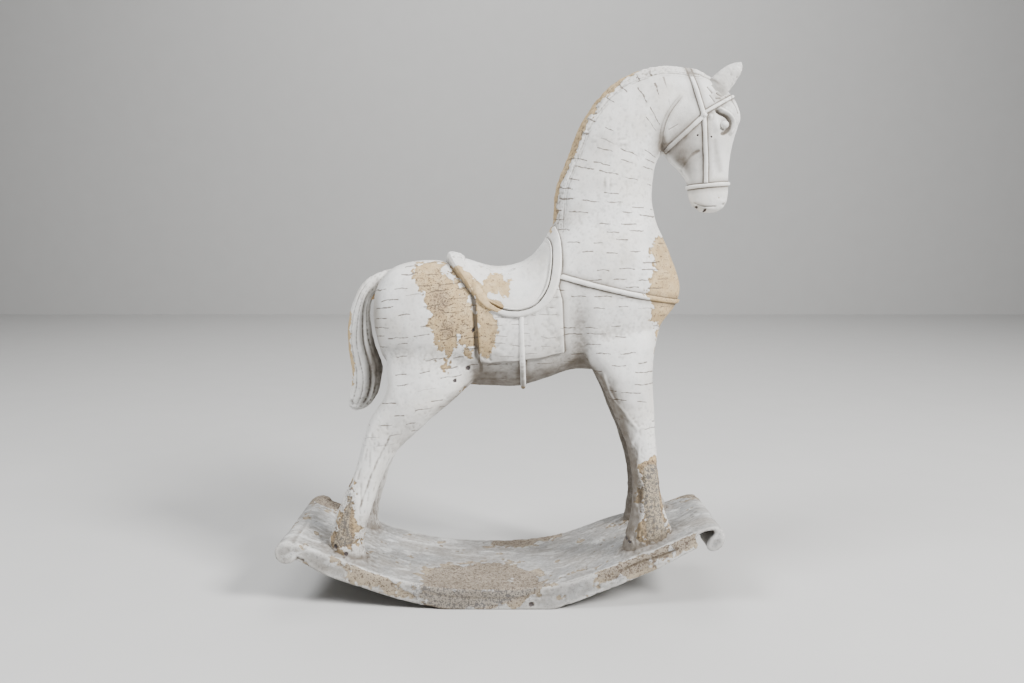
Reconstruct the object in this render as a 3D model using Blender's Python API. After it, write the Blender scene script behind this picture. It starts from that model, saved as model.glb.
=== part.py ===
"""Carved rocking horse ornament: a wooden horse with relief tack on one wide curved rocker board.

Metres, +Z up. The horse faces +X and its left side is +Y. The origin is the middle of the flat that the
board stands on. Stations and outlines are written in millimetres and scaled once by MM.
"""

import math

import bmesh
import bpy
import numpy as np
from mathutils import Matrix, Vector
from mathutils.bvhtree import BVHTree

MM = 0.001

# Driving dimensions, in millimetres
BOARD_WIDTH = 99.4
ROLL_REAR = (-140.0, 38.4, 8.0)  # centre x, centre z, radius
ROLL_FRONT = (139.9, 47.8, 8.1)
DECK_STEPS = 31
SEAM = 0.3  # gap between two pieces that touch
DOWEL_SLACK = 0.3
FOOT_PIN_RADIUS = 1.5
LEG_DOWEL_RADIUS = 3.5
NECK_DOWEL_RADIUS = 5.0
HEAD_DOWEL_RADIUS = 4.0
TAIL_PEG_RADIUS = 2.0
STRAP_THICKNESS = 1.5
STRAP_LIFT = 0.6
BRIDLE_WIDTH = 3.0
HEADPIECE_WIDTH = 3.2
GIRTH_WIDTH = 4.2
BREAST_STRAP_WIDTH = 4.0
BREAST_STRAP_LIFT = 0.9
CLOTH_THICKNESS = 1.2
CLOTH_LIFT = 1.0
SADDLE_LIFT = 3.3
SEAT_THICKNESS = 2.0
EYE_RADIUS = 2.7
TORSO_AXIS_Z = 185.0
HEAD_REACH = 30.0  # how far outside the head or the body a ray towards its surface starts
BODY_REACH = 90.0
FAR = 400.0  # larger than any cut needs

# Seams between the carved blocks: a point and the direction out of the body block, x and z only
NECK_SEAM = ((80.0, 229.0), (44.0, 90.0))
HEAD_SEAM = ((122.5, 330.0), (55.0, -25.0))
HEAD_REARMOST = 108.4
HEAD_LOWEST = 257.0
HIND_SEAM = ((-52.0, 145.5), (-17.0, -48.0))
FORE_SEAM = ((83.0, 149.0), (0.0, -1.0))

# Each station of a carved block joins two rails: x, z on one rail, x, z on the other, half width, centre y
TORSO = [
    (-87.2, 198, -87.2, 187, 6, 0),
    (-84.6, 211, -84.0, 174, 18, 0),
    (-78.0, 221, -79.0, 160, 27, 0),
    (-66.0, 227.6, -66.0, 151, 33, 0),
    (-46.0, 230, -46.0, 146, 35.5, 0),
    (-24.0, 226, -26.0, 143.5, 34.5, 0),
    (-6.0, 221, -6.0, 142.3, 33.5, 0),
    (11.0, 222.5, 12.0, 142.3, 33.5, 0),
    (26.0, 232, 30.0, 147, 33, 0),
    (40.0, 254, 50.0, 154, 32.5, 0),
    (62.0, 272, 70.0, 153, 32, 0),
    (90.0, 262, 88.0, 151, 30, 0),
    (109.0, 240, 101.0, 160, 26, 0),
    (119.0, 224, 109.5, 182.5, 18, 0),
    (124.2, 211, 121.0, 197, 7, 0),
]
NECK = [
    (33, 222, 110.5, 184, 31, 0),
    (35.5, 246, 124.4, 207, 29.5, 0),
    (37, 262, 117.6, 233, 25, 0),
    (38.5, 279, 108.6, 252, 21.5, 0),
    (46, 298.5, 104.2, 268, 19, 0),
    (57.5, 326, 104.2, 281, 17, 0),
    (78, 349, 105.5, 292, 15.5, 0),
    (106, 359.4, 108.5, 299, 14, 0),
    (133, 357.6, 116, 305, 12, 0),
]
HEAD = [
    (129, 353, 146, 351, 7, 0),
    (119, 346, 153.5, 343.5, 11, 0),
    (112.6, 334, 160, 336, 13, 0),
    (110.4, 321, 163, 325.5, 13.8, 0),
    (110.2, 309, 160, 314, 13.3, 0),
    (113.5, 298.2, 157.4, 303, 11.8, 0),
    (121.5, 290, 156.3, 293, 10.2, 0),
    (127, 283, 156.2, 284, 9.2, 0),
    (128.2, 276, 156.2, 276, 8.9, 0),
    (129.6, 269.5, 155.4, 269, 8.7, 0),
    (133.5, 264.8, 152.5, 264.6, 7.2, 0),
    (139, 261.6, 148, 261.8, 4, 0),
]
FORE_LEG = [
    (56, 174, 108, 184, 12, 19),
    (60.5, 160, 104.5, 168, 13.5, 21.5),
    (66.5, 149, 103, 153, 12.8, 24),
    (72.5, 137, 103.7, 138, 11.6, 25.5),
    (78.5, 122, 104.4, 122, 10.5, 26.5),
    (85.2, 107, 105.3, 107, 9.5, 27.5),
    (88.2, 92, 106.4, 91, 9, 28.5),
    (89.8, 75, 109, 74, 9, 29),
    (88.6, 58, 112, 60, 10, 29.5),
    (86, 47, 115.5, 50, 12, 30),
    (82, 30, 119, 36, 13, 30.5),
]
HIND_LEG = [
    (-72, 176, -10, 166, 11, 18),
    (-76.5, 160, -17, 149, 13.5, 20),
    (-75.5, 149, -28, 138, 13.8, 22.5),
    (-77, 139, -41, 127.5, 13, 25),
    (-84.5, 128, -55, 115, 11.5, 26.5),
    (-90, 115.5, -68.5, 102, 10, 28),
    (-93.5, 102, -76, 90, 9.3, 29),
    (-98, 86.5, -81.5, 78, 9, 29.5),
    (-104, 73.5, -85.5, 65, 9, 30),
    (-110, 59, -89.5, 52, 9.8, 30.5),
    (-114.5, 44, -91.5, 38, 11.8, 31),
    (-119, 26, -88, 20, 13, 31),
]
TAIL = [
    (-73, 229, -76, 222, 4.5, 0),
    (-83.5, 223.4, -83.5, 213, 6, 0),
    (-92.6, 215.5, -87.5, 205, 6.8, 0),
    (-99, 206.5, -90.2, 195, 7.2, 0),
    (-104, 192, -89.6, 184, 7.6, 0),
    (-105.6, 176, -87.4, 172, 8, 0),
    (-104.4, 162, -82.6, 159, 8.2, 0),
    (-103, 150, -82.6, 150, 7.6, 0),
    (-104.5, 138, -86, 136, 6, 0),
    (-106, 130, -92, 128.5, 4, 0),
    (-104.8, 125.6, -99, 125.2, 1.5, 0),
]
FORELOCK = [
    (112, 358.5, 116, 344, 8.5, 0),
    (124, 358.6, 124, 343, 8.5, 0),
    (134, 356.6, 132, 341, 8, 0),
    (143, 351.8, 139, 338, 7, 0),
    (151, 344.5, 147, 334, 6.2, 0),
    (157.5, 336, 153, 329, 5, 0),
]
EAR = [
    (140, 347, 150, 336, 4, 6.2),
    (143.5, 352.4, 152.6, 340.6, 3.9, 7.2),
    (149, 357, 156.4, 346, 3.5, 8.2),
    (154.5, 359.6, 159.8, 351.4, 2.5, 9),
    (160.2, 360.6, 161.4, 357.4, 0.7, 9.4),
]

# The left foreleg is carved further forward below this height, by this much for each millimetre down
LEFT_LEAN_TOP = 105.0
LEFT_LEAN = 0.12

# Curves of the rocker board, x and z, rear to front
DECK_CURVE = [(-134.5, 45.6), (-105, 34.2), (-76, 22.8), (-40, 15.6), (0, 14.2), (35, 17), (65, 26),
              (95, 38.2), (120, 48.4), (134.6, 54.6)]
UNDER_CURVE = [(131.4, 42.2), (106.8, 28.9), (76.6, 15.4), (49.4, 4.6), (36, 0), (-37, 0), (-63, 5.8),
               (-89, 14.2), (-112, 22.4), (-133, 33.4)]

# Edge of the seat, from the cantle down the left side to the pommel: x and angle round the back
SEAT_EDGE = [(-25, 0), (-23.5, 16), (-18.5, 33), (-12.5, 47), (-6, 60), (4, 68), (14, 69), (23, 64),
             (30, 52), (33, 38), (33.5, 24), (31, 11), (30, 0)]
SEAT_CENTRE = (6, 0)
SEAT_RINGS = (0.97, 0.78, 0.58, 0.38, 0.2, 0.06)  # scales of the seat's edge, from the edge inwards
ROLL_PROFILE = [(1.0, 2.4), (1.05, 4.2), (1.11, 4.6), (1.19, 1.6)]  # scale of the seat's edge, height
CLOTH_REAR = [(0, -20), (60, -15.6), (127, -12.8)]  # angle round the back, x of the edge
CLOTH_FRONT = [(0, 27), (40, 37), (60, 41.5), (122, 43.6)]

# Bridle, x and z
ROSETTE_PLACE = (135.6, 325.4)
ROSETTE_RADIUS = 3.2
ROSETTE_DEPTH = (0.6, 2.8)  # out from the carved surface
CHEEK_LINE = [(136, 321.2), (137.2, 307), (138.3, 296), (139, 283.2)]
JAW_LINE = [(132.6, 322.4), (122.5, 313), (114.6, 305.6)]

PAINT = (0.74, 0.72, 0.67)
BOARD_PAINT = (0.56, 0.53, 0.48)
CLOTH_PAINT = (0.72, 0.67, 0.58)
WOOD = (0.62, 0.45, 0.26)
STEEL = (0.55, 0.55, 0.56)


def material(name, colour, roughness, metallic=0.0):
    made = bpy.data.materials.new(name)
    made.use_nodes = True
    shader = made.node_tree.nodes["Principled BSDF"]
    shader.inputs["Base Color"].default_value = (*colour, 1)
    shader.inputs["Roughness"].default_value = roughness
    shader.inputs["Metallic"].default_value = metallic
    return made


def add_object(name, bm, finish=None):
    """Object of the bmesh, whose millimetres become metres."""
    bmesh.ops.recalc_face_normals(bm, faces=bm.faces)
    if bm.calc_volume(signed=True) < 0:
        bmesh.ops.reverse_faces(bm, faces=bm.faces)
    bmesh.ops.scale(bm, vec=(MM, MM, MM), verts=bm.verts)
    mesh = bpy.data.meshes.new(name)
    bm.to_mesh(mesh)
    bm.free()
    mesh.shade_smooth()
    mesh.set_sharp_from_angle(angle=math.radians(40))
    obj = bpy.data.objects.new(name, mesh)
    bpy.context.scene.collection.objects.link(obj)
    if finish:
        mesh.materials.append(finish)
    return obj


def smooth_rows(points, count, closed=False):
    """Evenly numbered points on the Catmull-Rom curve through the given ones."""
    points = np.array(points, float)
    if closed:
        padded = np.vstack([points[-1:], points, points[:2]])
        values = np.arange(count) * len(points) / count
    else:
        padded = np.vstack([2 * points[0] - points[1], points, 2 * points[-1] - points[-2]])
        values = np.linspace(0, len(points) - 1, count)
    rows = []
    for value in values:
        start = min(int(value), len(padded) - 4)
        t = value - start
        a, b, c, d = padded[start:start + 4]
        rows.append(b + 0.5 * t * (c - a + t * (2 * a - 5 * b + 4 * c - d + t * (3 * (b - c) + d - a))))
    return np.array(rows)


def bridge_rings(bm, rings, closed=False):
    """Quads between rings of vertices, with the two ends capped when the rings aren't closed on themselves."""
    pairs = list(zip(rings, rings[1:]))
    if closed:
        pairs.append((rings[-1], rings[0]))
    for ring, following in pairs:
        for i in range(len(ring)):
            j = (i + 1) % len(ring)
            bm.faces.new((ring[i], ring[j], following[j], following[i]))
    if not closed:
        bm.faces.new(rings[0])
        bm.faces.new(rings[-1])


def block(name, stations, rows, sides, mirror=1, finish=None):
    """Carved block: smooth oval rings between two rails."""
    bm = bmesh.new()
    rings = []
    for ax, az, bx, bz, half_width, middle_y in smooth_rows(stations, rows):
        ring = []
        for i in range(sides):
            turn = 2 * math.pi * i / sides
            along = math.cos(turn)
            across = math.copysign(abs(math.sin(turn)) ** 0.9, math.sin(turn))
            x = (ax + bx) / 2 + along * (bx - ax) / 2
            z = (az + bz) / 2 + along * (bz - az) / 2
            ring.append(bm.verts.new((x, mirror * (middle_y + across * half_width), z)))
        rings.append(ring)
    bridge_rings(bm, rings)
    return add_object(name, bm, finish)


def leaning(stations):
    """The stations of the left foreleg, whose foot stands further forward."""
    def shift(z):
        return LEFT_LEAN * max(0.0, LEFT_LEAN_TOP - z)

    return [(ax + shift(az), az, bx + shift(bz), bz, width, y) for ax, az, bx, bz, width, y in stations]


def prism(name, outline, low_y, high_y, finish=None):
    """An x, z outline extruded along Y."""
    bm = bmesh.new()
    rings = [[bm.verts.new((x, y, z)) for x, z in outline] for y in (low_y, high_y)]
    bridge_rings(bm, rings)
    return add_object(name, bm, finish)


def rod(name, start, end, radius, sides=14, finish=None):
    """Round bar between two points."""
    start, end = Vector(start), Vector(end)
    turn = (end - start).to_track_quat("Z", "Y").to_matrix().to_4x4()
    bm = bmesh.new()
    bmesh.ops.create_cone(bm, cap_ends=True, segments=sides, radius1=radius, radius2=radius,
                          depth=(end - start).length, matrix=Matrix.Translation((start + end) / 2) @ turn)
    return add_object(name, bm, finish)


def ball(name, centre, radius, finish=None):
    bm = bmesh.new()
    bmesh.ops.create_icosphere(bm, subdivisions=2, radius=radius, matrix=Matrix.Translation(centre))
    return add_object(name, bm, finish)


def far_side(seam, gap, low_y=-FAR, high_y=FAR, low_x=-FAR, high_x=FAR, low_z=-FAR):
    """Cutter that fills the space beyond a seam, moved along it by gap and trimmed to x and z limits."""
    (x, z), (nx, nz) = seam
    length = math.hypot(nx, nz)
    nx, nz = nx / length, nz / length
    x, z = x + nx * gap, z + nz * gap
    corners = [(x - nz * FAR, z + nx * FAR), (x + nz * FAR, z - nx * FAR)]
    corners += [(cx + nx * FAR, cz + nz * FAR) for cx, cz in reversed(corners)]
    cutter = prism("cutter", corners, low_y, high_y)
    if (low_x, high_x, low_z) != (-FAR, FAR, -FAR):
        limits = [(low_x, low_z), (high_x, low_z), (high_x, FAR), (low_x, FAR)]
        combine(cutter, prism("cutter", limits, -FAR - 1, FAR + 1), "INTERSECT")
    return cutter


def combine(target, tool, operation="DIFFERENCE", keep_tool=False):
    """Boolean of two objects, applied to the target's mesh."""
    modifier = target.modifiers.new(operation.lower(), "BOOLEAN")
    modifier.operation = operation
    modifier.object = tool
    modifier.solver = "EXACT"
    bpy.context.view_layer.update()
    graph = bpy.context.evaluated_depsgraph_get()
    mesh = bpy.data.meshes.new_from_object(target.evaluated_get(graph))
    target.modifiers.remove(modifier)
    old = target.data
    mesh.name = target.name
    target.data = mesh
    bpy.data.meshes.remove(old)
    if not keep_tool:
        bpy.data.objects.remove(tool)
    return target


def copy_of(obj, name, offset=(0, 0, 0), finish=None):
    """Copy of an object, with its mesh moved by an offset in millimetres."""
    made = bpy.data.objects.new(name, obj.data.copy())
    made.data.transform(Matrix.Translation(Vector(offset) * MM))
    bpy.context.scene.collection.objects.link(made)
    if finish:
        made.data.materials.clear()
        made.data.materials.append(finish)
    return made


class Skin:
    """The bare carved surface, which the tack lies on."""

    def __init__(self, obj):
        points = [vertex.co / MM for vertex in obj.data.vertices]
        self.tree = BVHTree.FromPolygons(points, [tuple(face.vertices) for face in obj.data.polygons])

    def hit(self, inner, outward, reach):
        """The surface point reached when coming in from reach outside the inner point."""
        found = self.tree.ray_cast(inner + outward * reach, -outward)[0]
        if found is None:
            raise ValueError(f"no carved surface towards {tuple(inner)}")
        return found

    def round_back(self, x, angle):
        """Surface point and outward direction at x, angle degrees from straight up round the torso's axis."""
        outward = Vector((0, math.sin(math.radians(angle)), math.cos(math.radians(angle))))
        return self.hit(Vector((x, 0, TORSO_AXIS_Z)), outward, BODY_REACH), outward


def solid_patch(name, rows, finish, ring=False):
    """Closed solid of a grid of (low point, high point) pairs. With ring, each row closes on itself."""
    bm = bmesh.new()
    low = [[bm.verts.new(pair[0]) for pair in row] for row in rows]
    high = [[bm.verts.new(pair[1]) for pair in row] for row in rows]
    columns = len(rows[0])
    steps = range(columns if ring else columns - 1)
    for grid in (low, high):
        for upper, lower in zip(grid, grid[1:]):
            for i in steps:
                j = (i + 1) % columns
                bm.faces.new((upper[i], upper[j], lower[j], lower[i]))
    for row in (0, -1):
        for i in steps:
            j = (i + 1) % columns
            bm.faces.new((low[row][i], low[row][j], high[row][j], high[row][i]))
    if not ring:
        for upper in range(len(rows) - 1):
            for side in (0, -1):
                bm.faces.new((low[upper][side], low[upper + 1][side], high[upper + 1][side], high[upper][side]))
    return add_object(name, bm, finish)


def ribbon(name, skin, aims, width, finish, lift=STRAP_LIFT, reach=HEAD_REACH, closed=False):
    """Flat strap on the surface along the aims, which are (inner point, outward direction) pairs."""
    hits = [skin.hit(inner, outward, reach) for inner, outward in aims]
    lifts = lift if isinstance(lift, list) else [lift] * len(aims)
    rows = []
    for i, (inner, outward) in enumerate(aims):
        here = hits[i]
        before = hits[i - 1] if closed or i else here
        after = hits[(i + 1) % len(hits)] if closed or i < len(hits) - 1 else here
        side = outward.cross(after - before).normalized()
        row = []
        for step in (-0.5, 0.5):
            foot = skin.hit(inner + side * width * step, outward, reach)
            row.append((foot + outward * lifts[i], foot + outward * (lifts[i] + STRAP_THICKNESS)))
        rows.append(row)
    if not closed:
        return solid_patch(name, rows, finish)
    bm = bmesh.new()
    rings = [[bm.verts.new(p) for p in (row[0][0], row[1][0], row[1][1], row[0][1])] for row in rows]
    bridge_rings(bm, rings, closed=True)
    return add_object(name, bm, finish)


def aims_round(centre, first, second, turns):
    """Aims from a centre, in directions cos * first + sin * second."""
    centre, first, second = Vector(centre), Vector(first).normalized(), Vector(second).normalized()
    return [(centre, math.cos(math.radians(t)) * first + math.sin(math.radians(t)) * second) for t in turns]


def side_aims(points, side, count):
    """Aims straight out sideways at points on a smooth x, z curve."""
    return [(Vector((x, 0, z)), Vector((0, side, 0))) for x, z in smooth_rows(points, count)]


def make_board(paint):
    """The wide curved plank and the roll under each of its ends."""
    deck = smooth_rows(DECK_CURVE, DECK_STEPS)
    under = smooth_rows(UNDER_CURVE[:5], 13).tolist() + smooth_rows(UNDER_CURVE[5:], 13).tolist()
    half = BOARD_WIDTH / 2
    board = prism("rocker_board", deck.tolist() + under, -half, half, paint)
    for name, (x, z, radius) in (("rear_scroll", ROLL_REAR), ("front_scroll", ROLL_FRONT)):
        rod(name, (x, -half, z), (x, half, z), radius, 28, paint)
        combine(board, rod("cutter", (x, -FAR, z), (x, FAR, z), radius + SEAM, 28))
    return board


def make_figure():
    """The whole carved horse as one surface, before it is split into its blocks."""
    figure = block("figure", TORSO, 23, 24)
    combine(figure, block("tool", NECK, 16, 24), "UNION")
    combine(figure, block("tool", HEAD, 17, 18), "UNION")
    combine(figure, block("tool", FORELOCK, 10, 14), "UNION")
    for side in (1, -1):
        combine(figure, block("tool", leaning(FORE_LEG) if side > 0 else FORE_LEG, 14, 14, side), "UNION")
        combine(figure, block("tool", HIND_LEG, 15, 14, side), "UNION")
    return figure


def split_figure(figure, paint):
    """Torso, neck, head and legs, parted at their seams."""
    half_gap = SEAM / 2
    torso = copy_of(figure, "torso", finish=paint)
    combine(torso, far_side(NECK_SEAM, -half_gap))
    neck = copy_of(figure, "neck", finish=paint)
    (x, z), (nx, nz) = NECK_SEAM
    combine(neck, far_side(((x, z), (-nx, -nz)), -half_gap))
    combine(neck, far_side(HEAD_SEAM, -half_gap, low_x=HEAD_REARMOST - SEAM, low_z=HEAD_LOWEST))
    head = copy_of(figure, "head", finish=paint)
    combine(head, far_side(HEAD_SEAM, half_gap, low_x=HEAD_REARMOST, low_z=HEAD_LOWEST), "INTERSECT")
    legs = []
    for name, seam, limits in (("fore", FORE_SEAM, (58, FAR)), ("hind", HIND_SEAM, (-FAR, -14))):
        for side, word in ((1, "left"), (-1, "right")):
            low_y, high_y = (0, FAR) if side > 0 else (-FAR, 0)
            leg = copy_of(figure, f"{name}_{word}_leg", finish=paint)
            combine(leg, far_side(seam, half_gap, low_y, high_y, *limits), "INTERSECT")
            legs.append((leg, name, side, word))
        combine(torso, far_side(seam, -half_gap, low_x=limits[0], high_x=limits[1]))
    return torso, neck, head, legs


def peg(name, start, end, radius, holders, finish):
    """Round peg in blind holes of the pieces that it joins."""
    rod(name, start, end, radius, finish=finish)
    direction = (Vector(end) - Vector(start)).normalized()
    for holder in holders:
        slack = direction * DOWEL_SLACK
        combine(holder, rod("cutter", Vector(start) - slack, Vector(end) + slack, radius + DOWEL_SLACK))


def make_legs_stand(legs, torso, board, wood, steel):
    """Feet cut to the deck, a hidden dowel at each hip and shoulder, and a steel pin under each foot."""
    deck = (smooth_rows(DECK_CURVE, DECK_STEPS) + (0, SEAM)).tolist()
    under_feet = [(-FAR, -FAR), (-FAR, deck[0][1]), *deck, (FAR, deck[-1][1]), (FAR, -FAR)]
    for leg, name, side, word in legs:
        combine(leg, prism("cutter", under_feet, -FAR, FAR))
        if name == "fore":
            peg(f"shoulder_dowel_{word}", (80, side * 21, 172), (87, side * 26, 128), LEG_DOWEL_RADIUS,
                (torso, leg), wood)
            low_x, high_x = (107, 102.2) if side > 0 else (98.5, 98.5)
            peg(f"fore_foot_pin_{word}", (low_x, side * 29.5, 30), (high_x, side * 29.2, 74), FOOT_PIN_RADIUS,
                (board, leg), steel)
        else:
            peg(f"hip_dowel_{word}", (-41, side * 19, 163), (-66, side * 25.5, 126), LEG_DOWEL_RADIUS,
                (torso, leg), wood)
            peg(f"hind_foot_pin_{word}", (-104, side * 31, 24), (-98, side * 30, 68), FOOT_PIN_RADIUS,
                (board, leg), steel)


def make_head_details(head, paint):
    """Ears on the poll and eyes in their sockets."""
    for side, word in ((1, "left"), (-1, "right")):
        ear = block(f"ear_{word}", EAR, 8, 10, side, paint)
        combine(ear, copy_of(head, "cutter", (0.3, side * 0.25, 0.35)))  # leaves a gap along the head
        centre = (150, side * 10.8, 319.5)
        ball(f"eye_{word}", centre, EYE_RADIUS, paint)
        combine(head, ball("cutter", centre, EYE_RADIUS + SEAM))


def make_tail(torso, paint, wood):
    """Tail against the rump, on a short peg."""
    tail = block("tail", TAIL, 16, 12, 1, paint)
    combine(tail, copy_of(torso, "cutter", (-0.45, 0, 0.3)))
    peg("tail_peg", (-76, 0, 208), (-96, 0, 202), TAIL_PEG_RADIUS, (torso, tail), wood)


def make_saddle(skin, paint, cloth_paint):
    """Cloth over the back, a padded seat and the thick roll round its edge, parted over the spine."""
    rows = []
    for drop in np.linspace(-1, 1, 29):
        row = []
        for across in np.linspace(0, 1, 9):
            angle = drop * (CLOTH_REAR[-1][0] * (1 - across) + CLOTH_FRONT[-1][0] * across)
            rear = np.interp(abs(angle), *zip(*CLOTH_REAR))
            front = np.interp(abs(angle), *zip(*CLOTH_FRONT))
            foot, outward = skin.round_back(rear + (front - rear) * across, angle)
            row.append((foot + outward * CLOTH_LIFT, foot + outward * (CLOTH_LIFT + CLOTH_THICKNESS)))
        rows.append(row)
    solid_patch("saddle_cloth", rows, cloth_paint)

    def lifted(edge_point, scale, height):
        """The pair of points over the seat's edge point, scaled out from the seat's centre."""
        x = SEAT_CENTRE[0] + (edge_point[0] - SEAT_CENTRE[0]) * scale
        foot, outward = skin.round_back(x, edge_point[1] * scale)
        return foot + outward * SADDLE_LIFT, foot + outward * (SADDLE_LIFT + height)

    left_edge = smooth_rows(SEAT_EDGE, 17)
    loop = [*left_edge, *[(x, -angle) for x, angle in left_edge[-2:0:-1]]]
    seat = [[lifted(point, scale, SEAT_THICKNESS) for point in loop] for scale in SEAT_RINGS]
    bm = bmesh.new()
    layers = [[[bm.verts.new(pair[level]) for pair in row] for row in seat] for level in (0, 1)]
    bridge_rings(bm, layers[0][::-1] + layers[1])
    add_object("saddle_seat", bm, paint)

    for side, word in ((1, "left"), (-1, "right")):
        rows = []
        for x, angle in left_edge:
            edge_angle = side * max(angle, 1.0)
            rows.append([lifted((x, edge_angle), scale, height) for scale, height in ROLL_PROFILE])
        solid_patch(f"saddle_roll_{word}", rows, paint)


def make_body_straps(skin, paint):
    """Girth round the belly and breast strap round the chest, between the two sides of the saddle."""
    turns = np.linspace(84, 276, 33)
    lifts = [float(np.interp(abs(turn - 180), (33, 46), (STRAP_LIFT, SADDLE_LIFT))) for turn in turns]
    aims = []
    for turn in turns:
        lean = np.interp(abs(turn - 180), (0, 96), (16.5, 14.5))
        outward = Vector((0, math.sin(math.radians(turn)), math.cos(math.radians(turn))))
        aims.append((Vector((lean, 0, TORSO_AXIS_Z)), outward))
    ribbon("girth_strap", skin, aims, GIRTH_WIDTH, paint, lifts, BODY_REACH)

    aims = []
    for turn in np.linspace(-137, 137, 45):
        outward = Vector((math.cos(math.radians(turn)), math.sin(math.radians(turn)), 0))
        height = 211.0
        for _ in range(4):  # the strap's height falls towards the chest, where its surface point lies
            x = skin.hit(Vector((74, 0, height)), outward, BODY_REACH).x
            height = 218.6 - 0.29 * (x - 43) + 0.0009 * (x - 43) ** 2
        aims.append((Vector((74, 0, height)), outward))
    ribbon("breast_strap", skin, aims, BREAST_STRAP_WIDTH, paint, BREAST_STRAP_LIFT, BODY_REACH)


def make_bridle(skin, paint):
    """Headpiece, cheek straps, browband, throat lashes and noseband, met by a rosette on each side."""
    x, z = ROSETTE_PLACE
    low, high = ROSETTE_DEPTH
    for side, word in ((1, "left"), (-1, "right")):
        foot = skin.hit(Vector((x, 0, z)), Vector((0, side, 0)), HEAD_REACH)
        rod(f"bridle_rosette_{word}", foot + Vector((0, side * low, 0)), foot + Vector((0, side * high, 0)),
            ROSETTE_RADIUS, 16, paint)
        ribbon(f"cheek_strap_{word}", skin, side_aims(CHEEK_LINE, side, 13), BRIDLE_WIDTH, paint)
        ribbon(f"throat_lash_{word}", skin, side_aims(JAW_LINE, side, 9), BRIDLE_WIDTH, paint)
    over_poll = aims_round((132.8, 0, 335), (-0.3, 0, 1), (0, 1, 0), np.linspace(-106, 106, 25))
    ribbon("headpiece", skin, over_poll, HEADPIECE_WIDTH, paint)
    over_brow = aims_round((140, 0, 329.5), (0.87, 0, 0.5), (0, 1, 0), np.linspace(-80, 80, 23))
    ribbon("browband", skin, over_brow, BRIDLE_WIDTH, paint)
    round_nose = aims_round((142, 0, 280), (1, 0, 0.09), (0, 1, 0), np.arange(0, 360, 15))
    ribbon("noseband", skin, round_nose, HEADPIECE_WIDTH, paint, closed=True)


def main():
    for obj in list(bpy.data.objects):
        bpy.data.objects.remove(obj)
    paint = material("cream_paint", PAINT, 0.7)
    board_paint = material("worn_board_paint", BOARD_PAINT, 0.75)
    cloth_paint = material("saddle_cloth_paint", CLOTH_PAINT, 0.75)
    wood = material("dowel_wood", WOOD, 0.6)
    steel = material("pin_steel", STEEL, 0.35, 1.0)
    board = make_board(board_paint)
    figure = make_figure()
    skin = Skin(figure)
    torso, neck, head, legs = split_figure(figure, paint)
    bpy.data.objects.remove(figure)
    make_legs_stand(legs, torso, board, wood, steel)
    peg("neck_dowel", (74, 0, 208), (84, 0, 262), NECK_DOWEL_RADIUS, (torso, neck), wood)
    peg("head_dowel", (104, 0, 334), (138, 0, 324), HEAD_DOWEL_RADIUS, (neck, head), wood)
    make_head_details(head, paint)
    make_tail(torso, paint, wood)
    make_saddle(skin, paint, cloth_paint)
    make_body_straps(skin, paint)
    make_bridle(skin, paint)


main()
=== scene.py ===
"""Looks of the carved rocking horse: finely sculpted blocks, relief tack, a worn board and aged paint.

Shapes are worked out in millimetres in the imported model's frame and turned into metres once, by MM.
The horse faces +X and its left side is +Y.
"""
import math

import bmesh
import bpy
import numpy as np
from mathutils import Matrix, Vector
from mathutils.bvhtree import BVHTree


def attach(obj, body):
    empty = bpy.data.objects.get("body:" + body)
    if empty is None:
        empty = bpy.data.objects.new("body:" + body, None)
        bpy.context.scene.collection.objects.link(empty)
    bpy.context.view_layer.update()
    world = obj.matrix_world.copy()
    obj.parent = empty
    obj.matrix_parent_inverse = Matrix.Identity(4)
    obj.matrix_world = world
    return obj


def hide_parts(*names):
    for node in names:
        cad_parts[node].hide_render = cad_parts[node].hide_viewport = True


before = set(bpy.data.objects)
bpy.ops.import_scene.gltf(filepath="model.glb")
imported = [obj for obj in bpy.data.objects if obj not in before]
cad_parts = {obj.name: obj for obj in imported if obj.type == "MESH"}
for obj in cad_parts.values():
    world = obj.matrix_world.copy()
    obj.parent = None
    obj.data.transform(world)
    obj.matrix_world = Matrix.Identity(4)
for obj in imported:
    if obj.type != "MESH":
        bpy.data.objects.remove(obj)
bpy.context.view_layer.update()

MM = 0.001

# Sizes that the pieces share, in millimetres
FIGURE_VOXEL = 1.25  # before one subdivision
BOARD_VOXEL = 0.85
HALF_BOARD = 49.7
TORSO_AXIS_Z = 185.0
CHEST_X = 74  # the breast strap goes round an upright line here
BODY_REACH = 90.0  # a ray towards the body comes in from this far outside its middle
PAINT_DEPTH = 0.22  # how far the bare patches lie below the paint
CHIP_DEPTH = 0.8
BURIED = 0.5  # how far a piece reaches into the one that it sits on
BARE_FROM, BARE_TO = 0.47, 0.54  # values of the bare field between which the paint ends
HOLLOW_DEPTH = 0.07  # depth of a crease that counts as fully hollow
SEAM_REACH = 3.0  # a seam cuts faces whose middle is within this distance
FINER_FROM = (106, 256)  # the head's surface is made finer beyond this x and z
FEET_BELOW = 62  # height under which the figure is only hooves
FEET_BEYOND = 70  # how far from the middle of the deck the hooves begin
BACK_RADIUS = 42  # turns angles round the back into lengths over it
CLOTH_DROP = 82  # length of the cloth down one side
SIDES = ((1, "left"), (-1, "right"))

# Seams between the carved blocks: a point and the direction out of the body block, x and z only
NECK_SEAM = ((80.0, 229.0), (44.0, 90.0))
HEAD_SEAM = ((122.5, 330.0), (55.0, -25.0))
HEAD_REARMOST = 108.4
HEAD_LOWEST = 257.0
HIND_SEAM = ((-52.0, 145.5), (-17.0, -48.0))
FORE_SEAM = ((83.0, 149.0), (0.0, -1.0))
REAR_SCROLL_X = -132.5
FRONT_SCROLL_X = 131.0

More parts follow.
